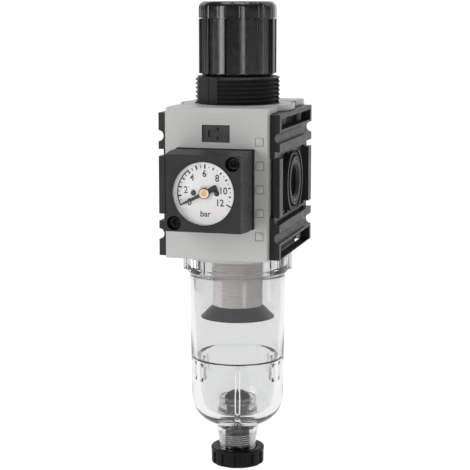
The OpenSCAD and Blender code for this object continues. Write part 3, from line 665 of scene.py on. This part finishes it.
def lettering(text, size, x, y, bold=0.0, narrow=1.0):
    """Points and faces of a short text, centred on a point."""
    curve = bpy.data.curves.new("letters", "FONT")
    curve.body = text
    curve.size = size
    curve.align_x = "CENTER"
    curve.align_y = "CENTER"
    curve.extrude = 0.01
    curve.offset = bold
    curve.resolution_u = 4
    holder = bpy.data.objects.new("letters", curve)
    bpy.context.scene.collection.objects.link(holder)
    bpy.context.view_layer.update()
    graph = bpy.context.evaluated_depsgraph_get()
    mesh = bpy.data.meshes.new_from_object(holder.evaluated_get(graph))
    lows = [min(v.co[i] for v in mesh.vertices) for i in (0, 1)]
    highs = [max(v.co[i] for v in mesh.vertices) for i in (0, 1)]
    middle = [(lows[i] + highs[i]) / 2 for i in (0, 1)]
    verts = [
        (x + (v.co.x - middle[0]) * narrow, y + v.co.y - middle[1], v.co.z + 0.01)
        for v in mesh.vertices
    ]
    faces = [tuple(p.vertices) for p in mesh.polygons]
    bpy.data.objects.remove(holder)
    bpy.data.curves.remove(curve)
    bpy.data.meshes.remove(mesh)
    return verts, faces


def dial():
    """White dial with a raised rim, its printed scale, and a dark arc of painted shade along the left of the
    scale.
    """
    radius = (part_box("gauge_dial")[1].x / MM) - 0.02
    profile = [(1.0, 0.0), (1.0, -0.38), (radius, -0.38), (radius, -0.03), (radius - 0.04, 0.0)]
    profile += [(10.46, 0.0), (10.46, 1.55), (10.42, 1.6), (10.36, 1.6), (10.32, 1.55)]
    profile += [(10.3, 0.1), (10.2, 0.0), (5, 0.0)]
    verts, faces = turned(profile, even(120))
    plate = build("dial_plate", verts, faces, MATERIALS["dial_white"])
    plate.data.transform(facing(DIAL_Y))
    stands_for(plate, "housing", "dial_white", "gauge_dial")
    # The dark arc from 0 to 4 bar is painted shade along the left edge of the scale, drawn in the print
    # black.
    pieces = [painted_shade_arc(0, 4.0, 9.15, 9.5)]
    for half in range(int(2 * SCALE_TOP) + 1):
        value = half / 2
        reach = 9.5 if value <= 6 else 8.9
        if value == SCALE_TOP:
            pieces.append(tick(value, 8.1, 9.9, 0.45))
        elif half % 2 == 0:
            pieces.append(tick(value, 8.1, reach, 0.5))
        else:
            pieces.append(tick(value, 8.35, reach - 0.1, 0.24))
    figures = {"0": (-5.3, -3.05), "2": (-6.55, 0.95), "4": (-4.45, 5.1), "6": (-0.15, 6.5)}
    figures.update({"8": (4.2, 5.05), "10": (6.45, 0.95), "12": (5.3, -3.05)})
    for text, (x, y) in figures.items():
        pieces.append(lettering(text, 3.2, x, y, 0.055, 0.9))
    pieces.append(lettering("bar", 2.7, 0.2, -6.85, 0.06))
    marks = joined("dial_print_and_painted_shade", pieces, PRINT_AND_SHADE)
    marks.data.transform(facing(DIAL_Y))
    return stands_for(marks, "housing", "pointer_black")


def rivets():
    """The two rivets that hold the dial."""
    pieces = []
    for x in (-4.0, 4.0):
        profile = [(0, -0.6), (0.45, -0.6), (0.45, 0.01), (0.95, 0.01), (0.93, 0.12)]
        profile += [(0.8, 0.24), (0.5, 0.3), (0, 0.31)]
        verts, faces = turned(profile, even(32))
        pieces.append(([(v[0] + x, v[1], v[2]) for v in verts], faces))
    obj = joined("dial_rivet_pair", pieces, MATERIALS["pointer_black"])
    obj.data.transform(facing(DIAL_Y))
    return stands_for(obj, "housing", "pointer_black", "dial_rivets")


def pointer():
    """Pointer with its counterweight and a pale hub face."""
    a = math.radians(SCALE_START)
    outline = [(-4.8, -0.7), (-4.5, -1.0), (-3.2, -1.0), (-1.5, -0.7), (1.4, -0.62)]
    outline += [(8.0, -0.32), (8.4, -0.15)]
    outline += [(x, -y) for x, y in reversed(outline)]
    verts = []
    for z in (0.76, 0.99):
        for x, y in outline:
            across = x * math.cos(a) - y * math.sin(a)
            up = x * math.sin(a) + y * math.cos(a)
            verts.append((across, up, z))
    count = len(outline)
    faces = [tuple(reversed(range(count))), tuple(range(count, 2 * count))]
    for i in range(count):
        n = (i + 1) % count
        faces.append((i, n, count + n, count + i))
    hub = [(0.86, 0.72), (1.83, 0.72), (1.86, 0.8), (1.86, 1.12), (1.8, 1.2), (1.66, 1.2)]
    hub += [(1.66, 1.06), (0.86, 1.06)]
    obj = joined("pointer_piece", [(verts, faces), turned(hub, even(48))], MATERIALS["pointer_black"])
    obj.data.transform(facing(DIAL_Y))
    stands_for(obj, "pointer", "pointer_black", "gauge_pointer")
    face_profile = [(0, 1.12), (1.6, 1.12), (1.64, 1.2), (1.64, 1.25), (1.58, 1.29)]
    face_profile += [(0.34, 1.29), (0.3, 1.24), (0.26, 1.1), (0, 1.08)]
    hub_face = build("pointer_hub", *turned(face_profile, even(48)), COPPER)
    hub_face.data.transform(facing(DIAL_Y))
    return stands_for(hub_face, "pointer", "brass")


def lens():
    """Slightly domed window."""
    radius = 10.5
    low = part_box("gauge_lens")[1].y / MM
    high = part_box("gauge_lens")[0].y / MM
    rise = low - high
    edge = 0.55
    thick = 0.95
    dome = (radius * radius + (rise - edge) ** 2) / (2 * (rise - edge))
    outer = []
    inner = []
    for i in range(13):
        r = radius * (1 - i / 12)
        outer.append((r, rise - dome + math.sqrt(dome * dome - r * r)))
        r2 = (radius - 0.5) * i / 12
        inner.append((r2, max(0.0, rise - thick - dome + math.sqrt(dome * dome - r2 * r2))))
    profile = [(radius, 0.0)] + outer + inner
    obj = build("lens_piece", *turned(profile, even(120)), LENS, 50)
    obj.data.transform(facing(low))
    return stands_for(obj, "housing", "clear_plastic", "gauge_lens")


def bezel():
    """Thin black ring round the window."""
    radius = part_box("gauge_bezel")[1].x / MM
    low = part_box("gauge_bezel")[1].y / MM
    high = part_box("gauge_bezel")[0].y / MM
    depth = low - high
    profile = [(radius, 0), (radius, depth - 0.08), (radius - 0.08, depth), (radius - 0.35, depth)]
    profile += [(radius - 0.42, depth - 0.08), (radius - 0.43, 0)]
    obj = build("bezel_piece", *turned(profile, even(144)), MATERIALS["black_plastic"], 40)
    obj.data.transform(facing(low))
    return stands_for(obj, "housing", "black_plastic", "gauge_bezel")


def arrow_plate():
    """Plate with a deep block arrow let into it."""
    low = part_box("arrow_plate")[0] / MM
    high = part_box("arrow_plate")[1] / MM
    middle = (low.z + high.z) / 2
    front = low.y + 0.4
    floor_y = front + 0.58
    half_w = high.x - 0.02
    half_h = (high.z - low.z) / 2 - 0.02
    frame_points = [(-half_w, -half_h), (half_w, -half_h), (half_w, half_h), (-half_w, half_h)]
    arrow = [(-2.8, -1.15), (0.3, -1.15), (0.3, -2.35), (3.0, 0)]
    arrow += [(0.3, 2.35), (0.3, 1.15), (-2.8, 1.15)]
    bm = bmesh.new()

    def ring(points, y):
        return [bm.verts.new((x * MM, y * MM, (middle + z) * MM)) for x, z in points]

    def loop(verts):
        return [bm.edges.new((verts[i], verts[(i + 1) % len(verts)])) for i in range(len(verts))]

    def wall(near, far):
        for i in range(len(near)):
            n = (i + 1) % len(near)
            bm.faces.new((near[i], near[n], far[n], far[i]))

    outer = ring(frame_points, front)
    hole = ring(arrow, front)
    bmesh.ops.triangle_fill(bm, use_beauty=True, edges=loop(outer) + loop(hole))
    back = ring(frame_points, high.y - 0.02)
    sunk = ring([(x * 0.985, z * 0.985) for x, z in arrow], floor_y)
    wall(outer, back)
    wall(hole, sunk)
    bm.faces.new(sunk)
    bm.faces.new(back)
    bmesh.ops.recalc_face_normals(bm, faces=bm.faces)
    mesh = bpy.data.meshes.new("arrow_plate_piece")
    bm.to_mesh(mesh)
    bm.free()
    obj = place(mesh, "arrow_plate_piece", MATERIALS["arrow_grey"])
    return stands_for(obj, "housing", "arrow_grey", "arrow_plate")


# ------------------------------------------------------------------ ports

def port_insert(side, node):
    """Threaded port insert with a chamfered mouth."""
    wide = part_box("right_frame")[1].x / MM
    inner = wide - 11.5
    pitch = 1.337
    deep = 8.6
    tooth = 0.62
    profile = [(7.75, inner), (7.78, wide - 0.6), (7.5, wide - 0.32), (6.75, wide - 0.3)]
    profile.append((5.8, wide - 1.25))
    start = len(profile)
    rows = int(deep / pitch * 6)
    for i in range(rows):
        profile.append((5.75, wide - 1.3 - deep * i / rows))
    end = len(profile)
    profile += [(5.6, wide - 10.25), (4.2, wide - 10.3), (4.2, inner)]

    def shape(k, r, z, a):
        if start <= k < end:
            ridge = ridge_at(z, a, pitch)
            fade = smoothstep(wide - 1.25, wide - 1.9, z)
            r = 6.4 - tooth * smoothstep(0.12, 0.88, ridge) * fade - tooth * (1 - fade) * 0.9
        return r, z

    verts, faces = turned(profile, even(120), shape)
    verts = [(side * z, y, x + PORT_Z) for x, y, z in verts]
    obj = build(node + "_piece", verts, faces, MATERIALS["black_plastic"], 38)
    return stands_for(obj, "housing", "black_plastic", node)


# ------------------------------------------------------------------ bowl

# The bowl's own zero direction, and the direction of the seam on the photographed side.
BOWL_TURN = 15.0
SEEN = -90.0


def bowl():
    """Clear bowl with its collar, step, grip bars, seams and drain neck."""
    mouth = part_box("bowl")[1].z / MM
    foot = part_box("bowl")[0].z / MM
    pitch = 0.8
    collar_r = 18.1
    neck_r = 14.88
    outer = [(neck_r, mouth), (neck_r, -48.75), (14.2, -48.8), (14.2, -50.4)]
    outer += [(neck_r, -50.45), (neck_r, -52.0), (14.93, -52.1)]
    outer += [(17.8, -52.1), (18.0, -52.2), (collar_r, -52.4)]
    collar = [(collar_r, z) for z in (-53.1, -53.45, -54.5, -56.5, -58.4, -59.35, -59.7)]
    collar_from = len(outer)
    outer += collar
    collar_to = len(outer)
    outer += [(18.0, -60.1), (17.75, -60.35), (17.35, -60.7), (17.2, -61.3), (17.15, -63)]
    outer += round_off([
        (17.1, -70), (16.8, -104.5), (16.3, -109.2), (14.9, -112.3),
        (12.4, -114.8), (8.9, -116.5), (7.75, -117.3), (7.5, -119),
    ])
    outer += [(7.0, -122.0), (6.75, -124.0), (6.65, foot + 0.2), (6.5, foot)]
    inner_start = len(outer)
    rows = 88
    thread_low = foot + 0.1
    thread_high = -119.6
    bore = 5.95
    inner = [(bore, foot)]
    inner += [(bore, thread_low + (thread_high - thread_low) * i / rows) for i in range(rows + 1)]
    thread_to = inner_start + len(inner)
    inner += [(bore, -119.2), (bore, -114.2)]
    lower_from = inner_start + len(inner)
    lower = round_off([
        (bore, -113.3), (9.0, -112.7), (11.7, -110.8), (12.9, -108.2),
        (13.4, -104), (13.55, -99), (13.6, -93.5), (13.7, -92.3),
    ])
    inner += lower
    lower_to = inner_start + len(inner)
    inner += [(13.9, -91.95), (14.6, -91.6), (15.1, -91.4), (15.2, -90.8), (15.25, -80), (15.3, -61.9)]
    inner += [(15.1, -60.9), (13.9, -58.9), (13.5, -58.2), (13.5, mouth)]
    profile = outer + inner
    normals = []
    for k in range(len(profile)):
        r0, z0 = profile[k - 1]
        r1, z1 = profile[(k + 1) % len(profile)]
        dr, dz = r1 - r0, z1 - z0
        size = math.hypot(dr, dz) or 1.0
        normals.append((-dz / size, dr / size))

    lugs = (-6.0, 6.0, 174.0, 186.0)
    lines = (SEEN - 40, SEEN + 40, -SEEN - 40, -SEEN + 40)
    bars = tuple(c + d for c in (SEEN, -SEEN) for d in (-74, -58.6, 58.6, 74))

    def bowl_shape(k, r, z, a):
        own = math.degrees(a) - BOWL_TURN
        rad = math.radians(own)
        # small ribs and lines of the collar
        if collar_from < k < collar_to - 1:
            for lug in lugs:
                wide = math.radians(abs(off_angle(rad, lug))) * 18.8
                r += 1.5 * (1 - smoothstep(0.55, 0.75, wide))
            for line in lines:
                wide = math.radians(abs(off_angle(rad, line))) * collar_r
                r -= 0.4 * (1 - smoothstep(0.1, 0.3, wide))
        # drain thread in the neck
        if inner_start < k < thread_to:
            ridge = ridge_at(z, a, pitch)
            fade = smoothstep(thread_high + 0.2, thread_high - 0.6, z) * smoothstep(foot, foot + 0.5, z)
            r = bore + 0.22 * smoothstep(0.15, 0.85, ridge) * fade
        # mould seams and grip bars on the inside
        if lower_from <= k < lower_to:
            nr, nz = normals[k]
            part = (k - lower_from) / (lower_to - lower_from)
            grow = smoothstep(0.0, 0.12, part)
            lift = 0.75 * smoothstep(0.0, 0.1, part) * smoothstep(-92.2, -94.5, z)
            for seam in (SEEN, -SEEN):
                wide = math.radians(abs(off_angle(rad, seam))) * r
                half = 0.75 * grow + 0.1
                if wide < half:
                    bump = lift * math.sqrt(max(0.0, 1 - (wide / half) ** 2))
                    r, z = r + nr * bump, z + nz * bump
            if -99.5 < z < -93.2:
                for bar in bars:
                    wide = math.radians(abs(off_angle(rad, bar))) * 13.6
                    rise = smoothstep(-98.9, -98.3, z) * smoothstep(-93.4, -94.0, z)
                    r -= 1.1 * (1 - smoothstep(0.6, 0.8, wide)) * rise
        return r, z

    near = [BOWL_TURN + c for c in (*lugs, *lines, *bars, SEEN, -SEEN)]
    angles = fine_angles(2.0, near, 5.0, 0.4)
    verts, faces = turned(profile, angles, bowl_shape)
    obj = build("bowl_piece", verts, faces, MATERIALS["clear_plastic"], 38)
    stands_for(obj, "bowl", "clear_plastic", "bowl")
    pieces = [bowl_lug(direction) for direction in (90, 270)]
    lug_pair = joined("bowl_lugs", pieces, MATERIALS["clear_plastic"])
    return stands_for(lug_pair, "bowl", "clear_plastic")


def bowl_lug(direction):
    """Bayonet lug on the bowl's neck."""
    verts = []
    faces = []
    count = 10
    arc = 23.6
    section = [(14.9, -46.55), (16.2, -46.55), (16.35, -46.3)]
    section += [(16.35, -44.9), (16.2, -44.65), (14.9, -44.65)]
    size = len(section)
    for i in range(count + 1):
        a = math.radians(direction + BOWL_TURN - arc / 2 + arc * i / count)
        for r, z in section:
            verts.append((r * math.cos(a), r * math.sin(a), z))
    for i in range(count):
        for k in range(size):
            n = (k + 1) % size
            faces.append((i * size + k, (i + 1) * size + k, (i + 1) * size + n, i * size + n))
    faces += [tuple(range(size)), tuple(count * size + k for k in reversed(range(size)))]
    return verts, faces


def filter_element():
    """Sintered filter tube with fine rings."""
    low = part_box("filter_element")[0].z / MM
    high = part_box("filter_element")[1].z / MM
    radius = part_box("filter_element")[1].x / MM
    profile = [(radius - 2.35, low + 0.02), (radius - 0.3, low + 0.02), (radius - 0.05, low + 0.2)]
    z = low + 0.5
    while z < high - 0.4:
        deep = 0.1 if (int((z - low) * 2) % 9) else 0.22
        profile += [(radius - 0.02, z), (radius - 0.02, z + 0.55)]
        profile += [(radius - deep, z + 0.68), (radius - deep, z + 0.8)]
        z += 0.93
    profile += [(radius - 0.2, high - 0.05), (radius - 2.35, high - 0.05)]
    obj = build("filter_piece", *turned(profile, even(96)), MATERIALS["filter_beige"], 40)
    return stands_for(obj, "housing", "filter_beige", "filter_element")


def baffle():
    """Umbrella-shaped baffle under the filter."""
    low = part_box("baffle")[0].z / MM
    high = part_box("baffle")[1].z / MM
    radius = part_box("baffle")[1].x / MM
    profile = [(0, low + 0.3), (8.0, low + 0.3), (8.4, low), (radius - 0.4, low), (radius - 0.05, low + 0.12)]
    profile += [(radius, low + 0.3), (radius - 0.1, low + 0.52), (radius - 0.5, low + 0.75)]
    profile += [(10.4, high - 1.1), (9.7, high - 0.5), (9.3, high - 0.15), (9.0, high)]
    profile += [(2.55, high), (2.55, low + 0.95), (0, low + 0.95)]
    obj = build("baffle_piece", *turned(profile, even(120)), MATERIALS["baffle_brown"], 40)
    return stands_for(obj, "housing", "baffle_brown", "baffle")


# ------------------------------------------------------------------ drain

def drain_knob():
    """Fluted drain knob."""
    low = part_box("drain_knob")[0].z / MM
    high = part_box("drain_knob")[1].z / MM
    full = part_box("drain_knob")[1].x / MM
    lip = high - 1.0
    flutes = 12
    step = 360 // flutes
    first = 15
    profile = [(4.3, low + 0.02), (6.4, low + 0.02), (full - 1.5, low), (full - 0.8, low + 0.08)]
    profile += corner(full - 0.75, low + 0.75, 0.65, -60, 0, 4)
    profile += [(full - 0.1, low + 1.4), (full - 0.1, low + 2.6), (full - 0.08, low + 3.8)]
    profile += [(full - 0.06, lip - 0.15), (full - 0.06, lip - 0.08), (full - 0.05, lip)]
    flute_to = len(profile)
    profile += [(full, lip + 0.06), (full, lip + 0.5)]
    profile += corner(full - 0.4, high - 0.4, 0.4, 0, 90, 4)
    profile += [(7.5, high), (7.15, high - 0.12), (7.03, high - 0.4), (7.02, -128.55), (4.3, -128.55)]

    def shape(k, r, z, a):
        if 2 < k < flute_to:
            d = off_angle(a, first) % step
            d = min(d, step - d)
            deep = 0.62 * (1 - smoothstep(6.0, 7.2, d)) * (1 - smoothstep(lip - 0.1, lip - 0.02, z))
            r -= deep * smoothstep(low, low + 0.5, z)
        return r, z

    near = [first + step * i for i in range(flutes)]
    verts, faces = turned(profile, fine_angles(1.5, near, 8.0, 0.5), shape)
    obj = build("drain_knob_piece", verts, faces, MATERIALS["drain_black"], 42)
    return stands_for(obj, "drain_knob", "knob_black", "drain_knob")


def drain_stem():
    """Threaded drain stem with a domed head."""
    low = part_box("drain_stem")[0].z / MM
    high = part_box("drain_stem")[1].z / MM
    pitch = 0.8
    root = 4.2
    profile = [(1.3, low), (4.0, low), (root, low + 0.2), (root, -128.2)]
    start = len(profile)
    rows = 60
    for i in range(rows):
        profile.append((root, -128.1 + 8.6 * i / rows))
    end = len(profile)
    profile += [(root, -118.5), (5.5, -118.4), (5.6, -118.3), (5.6, -117.55), (5.5, -117.42)]
    profile += [(root, -117.4), (root, -109.5), (2.95, -109.45), (2.95, -107.92)]
    profile += [(4.5, -107.9), (4.68, -107.75), (4.7, -107.5)]
    dome = [(4.7, -107.2), (4.3, -106.4), (3.4, -105.6), (2.2, high + 0.12), (1.0, high)]
    profile += round_off(dome)
    profile += [(0, high), (0, -111.5), (1.3, -112)]

    def shape(k, r, z, a):
        if start <= k < end:
            ridge = ridge_at(z, a, pitch)
            fade = smoothstep(-128.1, -127.4, z) * (1 - smoothstep(-120.2, -119.6, z))
            r = root + 0.4 * smoothstep(0.2, 0.8, ridge) * fade
        return r, z

    obj = build("drain_stem_piece", *turned(profile, even(120), shape), MATERIALS["drain_black"], 38)
    return stands_for(obj, "drain_stem", "knob_black", "drain_stem")


# ------------------------------------------------------------------ springs and diaphragm

def springs():
    """The three coil springs, each squashed by the piece that presses it."""
    nut_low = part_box("spring_nut")[0].z / MM
    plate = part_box("regulating_spring")[0].z / MM
    main = helix("regulating_coil", 6.6, 0.9, plate, nut_low, 5.5, MATERIALS["steel"])
    stands_for(main, "housing", "steel", "regulating_spring")
    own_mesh(main)
    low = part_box("valve_spring")[0].z / MM
    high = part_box("valve_spring")[1].z / MM
    small = helix("valve_coil", 3.5, 0.34, low, high, 4.5, MATERIALS["steel"], 8)
    stands_for(small, "housing", "steel", "valve_spring")
    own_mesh(small)
    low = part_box("drain_spring")[0].z / MM
    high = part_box("drain_spring")[1].z / MM
    tiny = helix("drain_coil", 5.05, 0.28, low, high, 4.5, MATERIALS["steel"], 8)
    stands_for(tiny, "bowl", "steel", "drain_spring")
    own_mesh(tiny)


def diaphragm():
    """Rolled rubber diaphragm, clamped at its rim."""
    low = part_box("diaphragm")[0].z / MM
    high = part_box("diaphragm")[1].z / MM
    profile = [(2.5, low + 0.32), (2.5, high - 0.32), (10.4, high - 0.32), (11.0, high - 0.45)]
    profile += [(11.6, high - 0.5), (12.2, high - 0.4), (12.6, high - 0.05), (12.9, high)]
    profile += [(15.9, high), (15.95, low), (12.9, low), (12.4, low + 0.2)]
    profile += [(11.6, low + 0.12), (10.8, low + 0.25)]
    obj = build("diaphragm_piece", *turned(profile, even(96)), MATERIALS["rubber"], 40)
    stands_for(obj, "housing", "rubber", "diaphragm")
    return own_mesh(obj)


# ------------------------------------------------------------------ carried-over pieces

SOFTENED = {
    "head_plate": ("cover_grey", 0.15),
    "head_ring": ("cover_grey", 0.2),
    "front_cover": ("cover_grey", 0.22),
    "rear_cover": ("cover_grey", 0.22),
    "left_frame": ("black_plastic", 0.2),
    "right_frame": ("black_plastic", 0.2),
    "rear_screws": ("black_plastic", 0.06),
    "rear_plug": ("black_plastic", 0.25),
    "gauge_housing": ("black_plastic", 0.25),
    "gauge_screws": ("black_plastic", 0.08),
    "body_core": ("core_black", 0.15),
    "gauge_gasket": ("rubber", 0.12),
    "drain_seat": ("clear_plastic", 0.12),
    "drain_washer": ("white_plastic", 0.03),
    "drain_seal": ("rubber", 0.1),
    "detent_ring": ("rubber", 0.0),
    "port_orings": ("rubber", 0.0),
    "bowl_oring": ("rubber", 0.0),
    "guide_oring": ("rubber", 0.0),
    "gauge_oring": ("rubber", 0.0),
    "spindle": ("steel", 0.15),
    "thrust_washer": ("steel", 0.05),
    "spring_nut": ("brass", 0.15),
    "diaphragm_plate": ("steel", 0.1),
    "relief_seat": ("brass", 0.1),
    "valve_seat": ("brass", 0.1),
    "valve_stem": ("brass", 0.05),
    "valve_disc": ("rubber", 0.1),
    "valve_guide": ("white_plastic", 0.1),
    "pointer_pinion": ("brass", 0.02),
    "sector_gear": ("brass", 0.02),
    "gauge_link": ("brass", 0.02),
    "movement_plates": ("brass", 0.06),
    "bourdon_tube": ("brass", 0.1),
    "gauge_socket": ("brass", 0.1),
    "swirl_ring": ("white_plastic", 0.08),
    "filter_stud": ("white_plastic", 0.12),
}


def carried_over():
    """The CAD shapes that only need softer edges."""
    # box round the two engraved squares on the front cover
    squares = ((13.4, -28.5, -45.0), (17.2, -27.0, -9.0))
    for node, (slot, width) in SOFTENED.items():
        softened(node, slot, max(width, 0.01), squares if node == "front_cover" else None)


# ------------------------------------------------------------------ stage

def floor():
    """Pale floor that sweeps up into a backdrop."""
    low = cad_box[0][2]
    bend = 0.6
    front = -1.2
    back = 1.4
    top = 2.4
    half_wide = 2.6
    profile = [(front, 0.0), (back, 0.0)]
    for i in range(1, 13):
        a = math.radians(90 * i / 12)
        profile.append((back + bend * math.sin(a), bend - bend * math.cos(a)))
    profile.append((back + bend, top))
    mesh = bpy.data.meshes.new("floor")
    verts = []
    for y, z in profile:
        for x in (-half_wide, half_wide):
            verts.append((x, y, low + z))
    faces = [(i * 2, i * 2 + 1, i * 2 + 3, i * 2 + 2) for i in range(len(profile) - 1)]
    mesh.from_pydata(verts, [], faces)
    for face in mesh.polygons:
        face.use_smooth = True
    mat, tree, bsdf = shader("floor", (0.2, 0.2, 0.2), 0.9, 0.0, 0.0)
    mottle(tree, bsdf, (0.195, 0.195, 0.195), (0.205, 0.205, 0.205), 3)
    bsdf.inputs["Emission Color"].default_value = (1, 1, 1, 1)
    bsdf.inputs["Emission Strength"].default_value = 0.95
    obj = bpy.data.objects.new("floor", mesh)
    bpy.context.scene.collection.objects.link(obj)
    mesh.materials.append(mat)


def softbox(name, spot, aim, width, height, power):
    """Area light aimed at a point."""
    light = bpy.data.lights.new(name, "AREA")
    light.shape = "RECTANGLE"
    light.size = width
    light.size_y = height
    light.energy = power
    obj = bpy.data.objects.new(name, light)
    bpy.context.scene.collection.objects.link(obj)
    obj.location = spot
    obj.rotation_euler = (Vector(aim) - Vector(spot)).to_track_quat("-Z", "Y").to_euler()
    return obj


def lights():
    """Dim white world and four softboxes."""
    world = bpy.data.worlds.new("studio")
    bpy.context.scene.world = world
    world.use_nodes = True
    world.node_tree.nodes["Background"].inputs["Color"].default_value = (1, 1, 1, 1)
    world.node_tree.nodes["Background"].inputs["Strength"].default_value = 0.1
    middle = (0, 0, -0.04)
    softbox("key", (-0.55, -0.7, 0.12), middle, 0.42, 0.9, 5.9)
    softbox("fill", (0.48, -0.76, 0.1), middle, 0.14, 0.9, 1.7)
    softbox("top", (0.0, 0.05, 0.95), middle, 0.8, 0.6, 5)
    softbox("side", (0.95, 0.2, 0.1), middle, 0.2, 0.8, 1.0)


def camera():
    """Camera at the product view."""
    azimuth = math.radians(15.3)
    pitch = math.radians(9.41)
    cam = bpy.data.cameras.new("camera")
    cam.lens = 110.1
    cam.sensor_width = 36
    cam.shift_x = -0.0055
    obj = bpy.data.objects.new("camera", cam)
    bpy.context.scene.collection.objects.link(obj)
    obj.location = (0.1344, -0.4914, 0.0369)
    level = math.cos(pitch)
    look = Vector((-math.sin(azimuth) * level, math.cos(azimuth) * level, -math.sin(pitch)))
    obj.rotation_euler = look.to_track_quat("-Z", "Y").to_euler()
    bpy.context.scene.camera = obj


knob()
knob_cap()
bonnet()
dial()
rivets()
pointer()
lens()
bezel()
arrow_plate()
port_insert(1, "outlet_insert")
port_insert(-1, "inlet_insert")
bowl()
filter_element()
baffle()
drain_knob()
drain_stem()
springs()
diaphragm()
carried_over()
floor()
lights()
camera()
bpy.context.scene.view_settings.view_transform = "Standard"
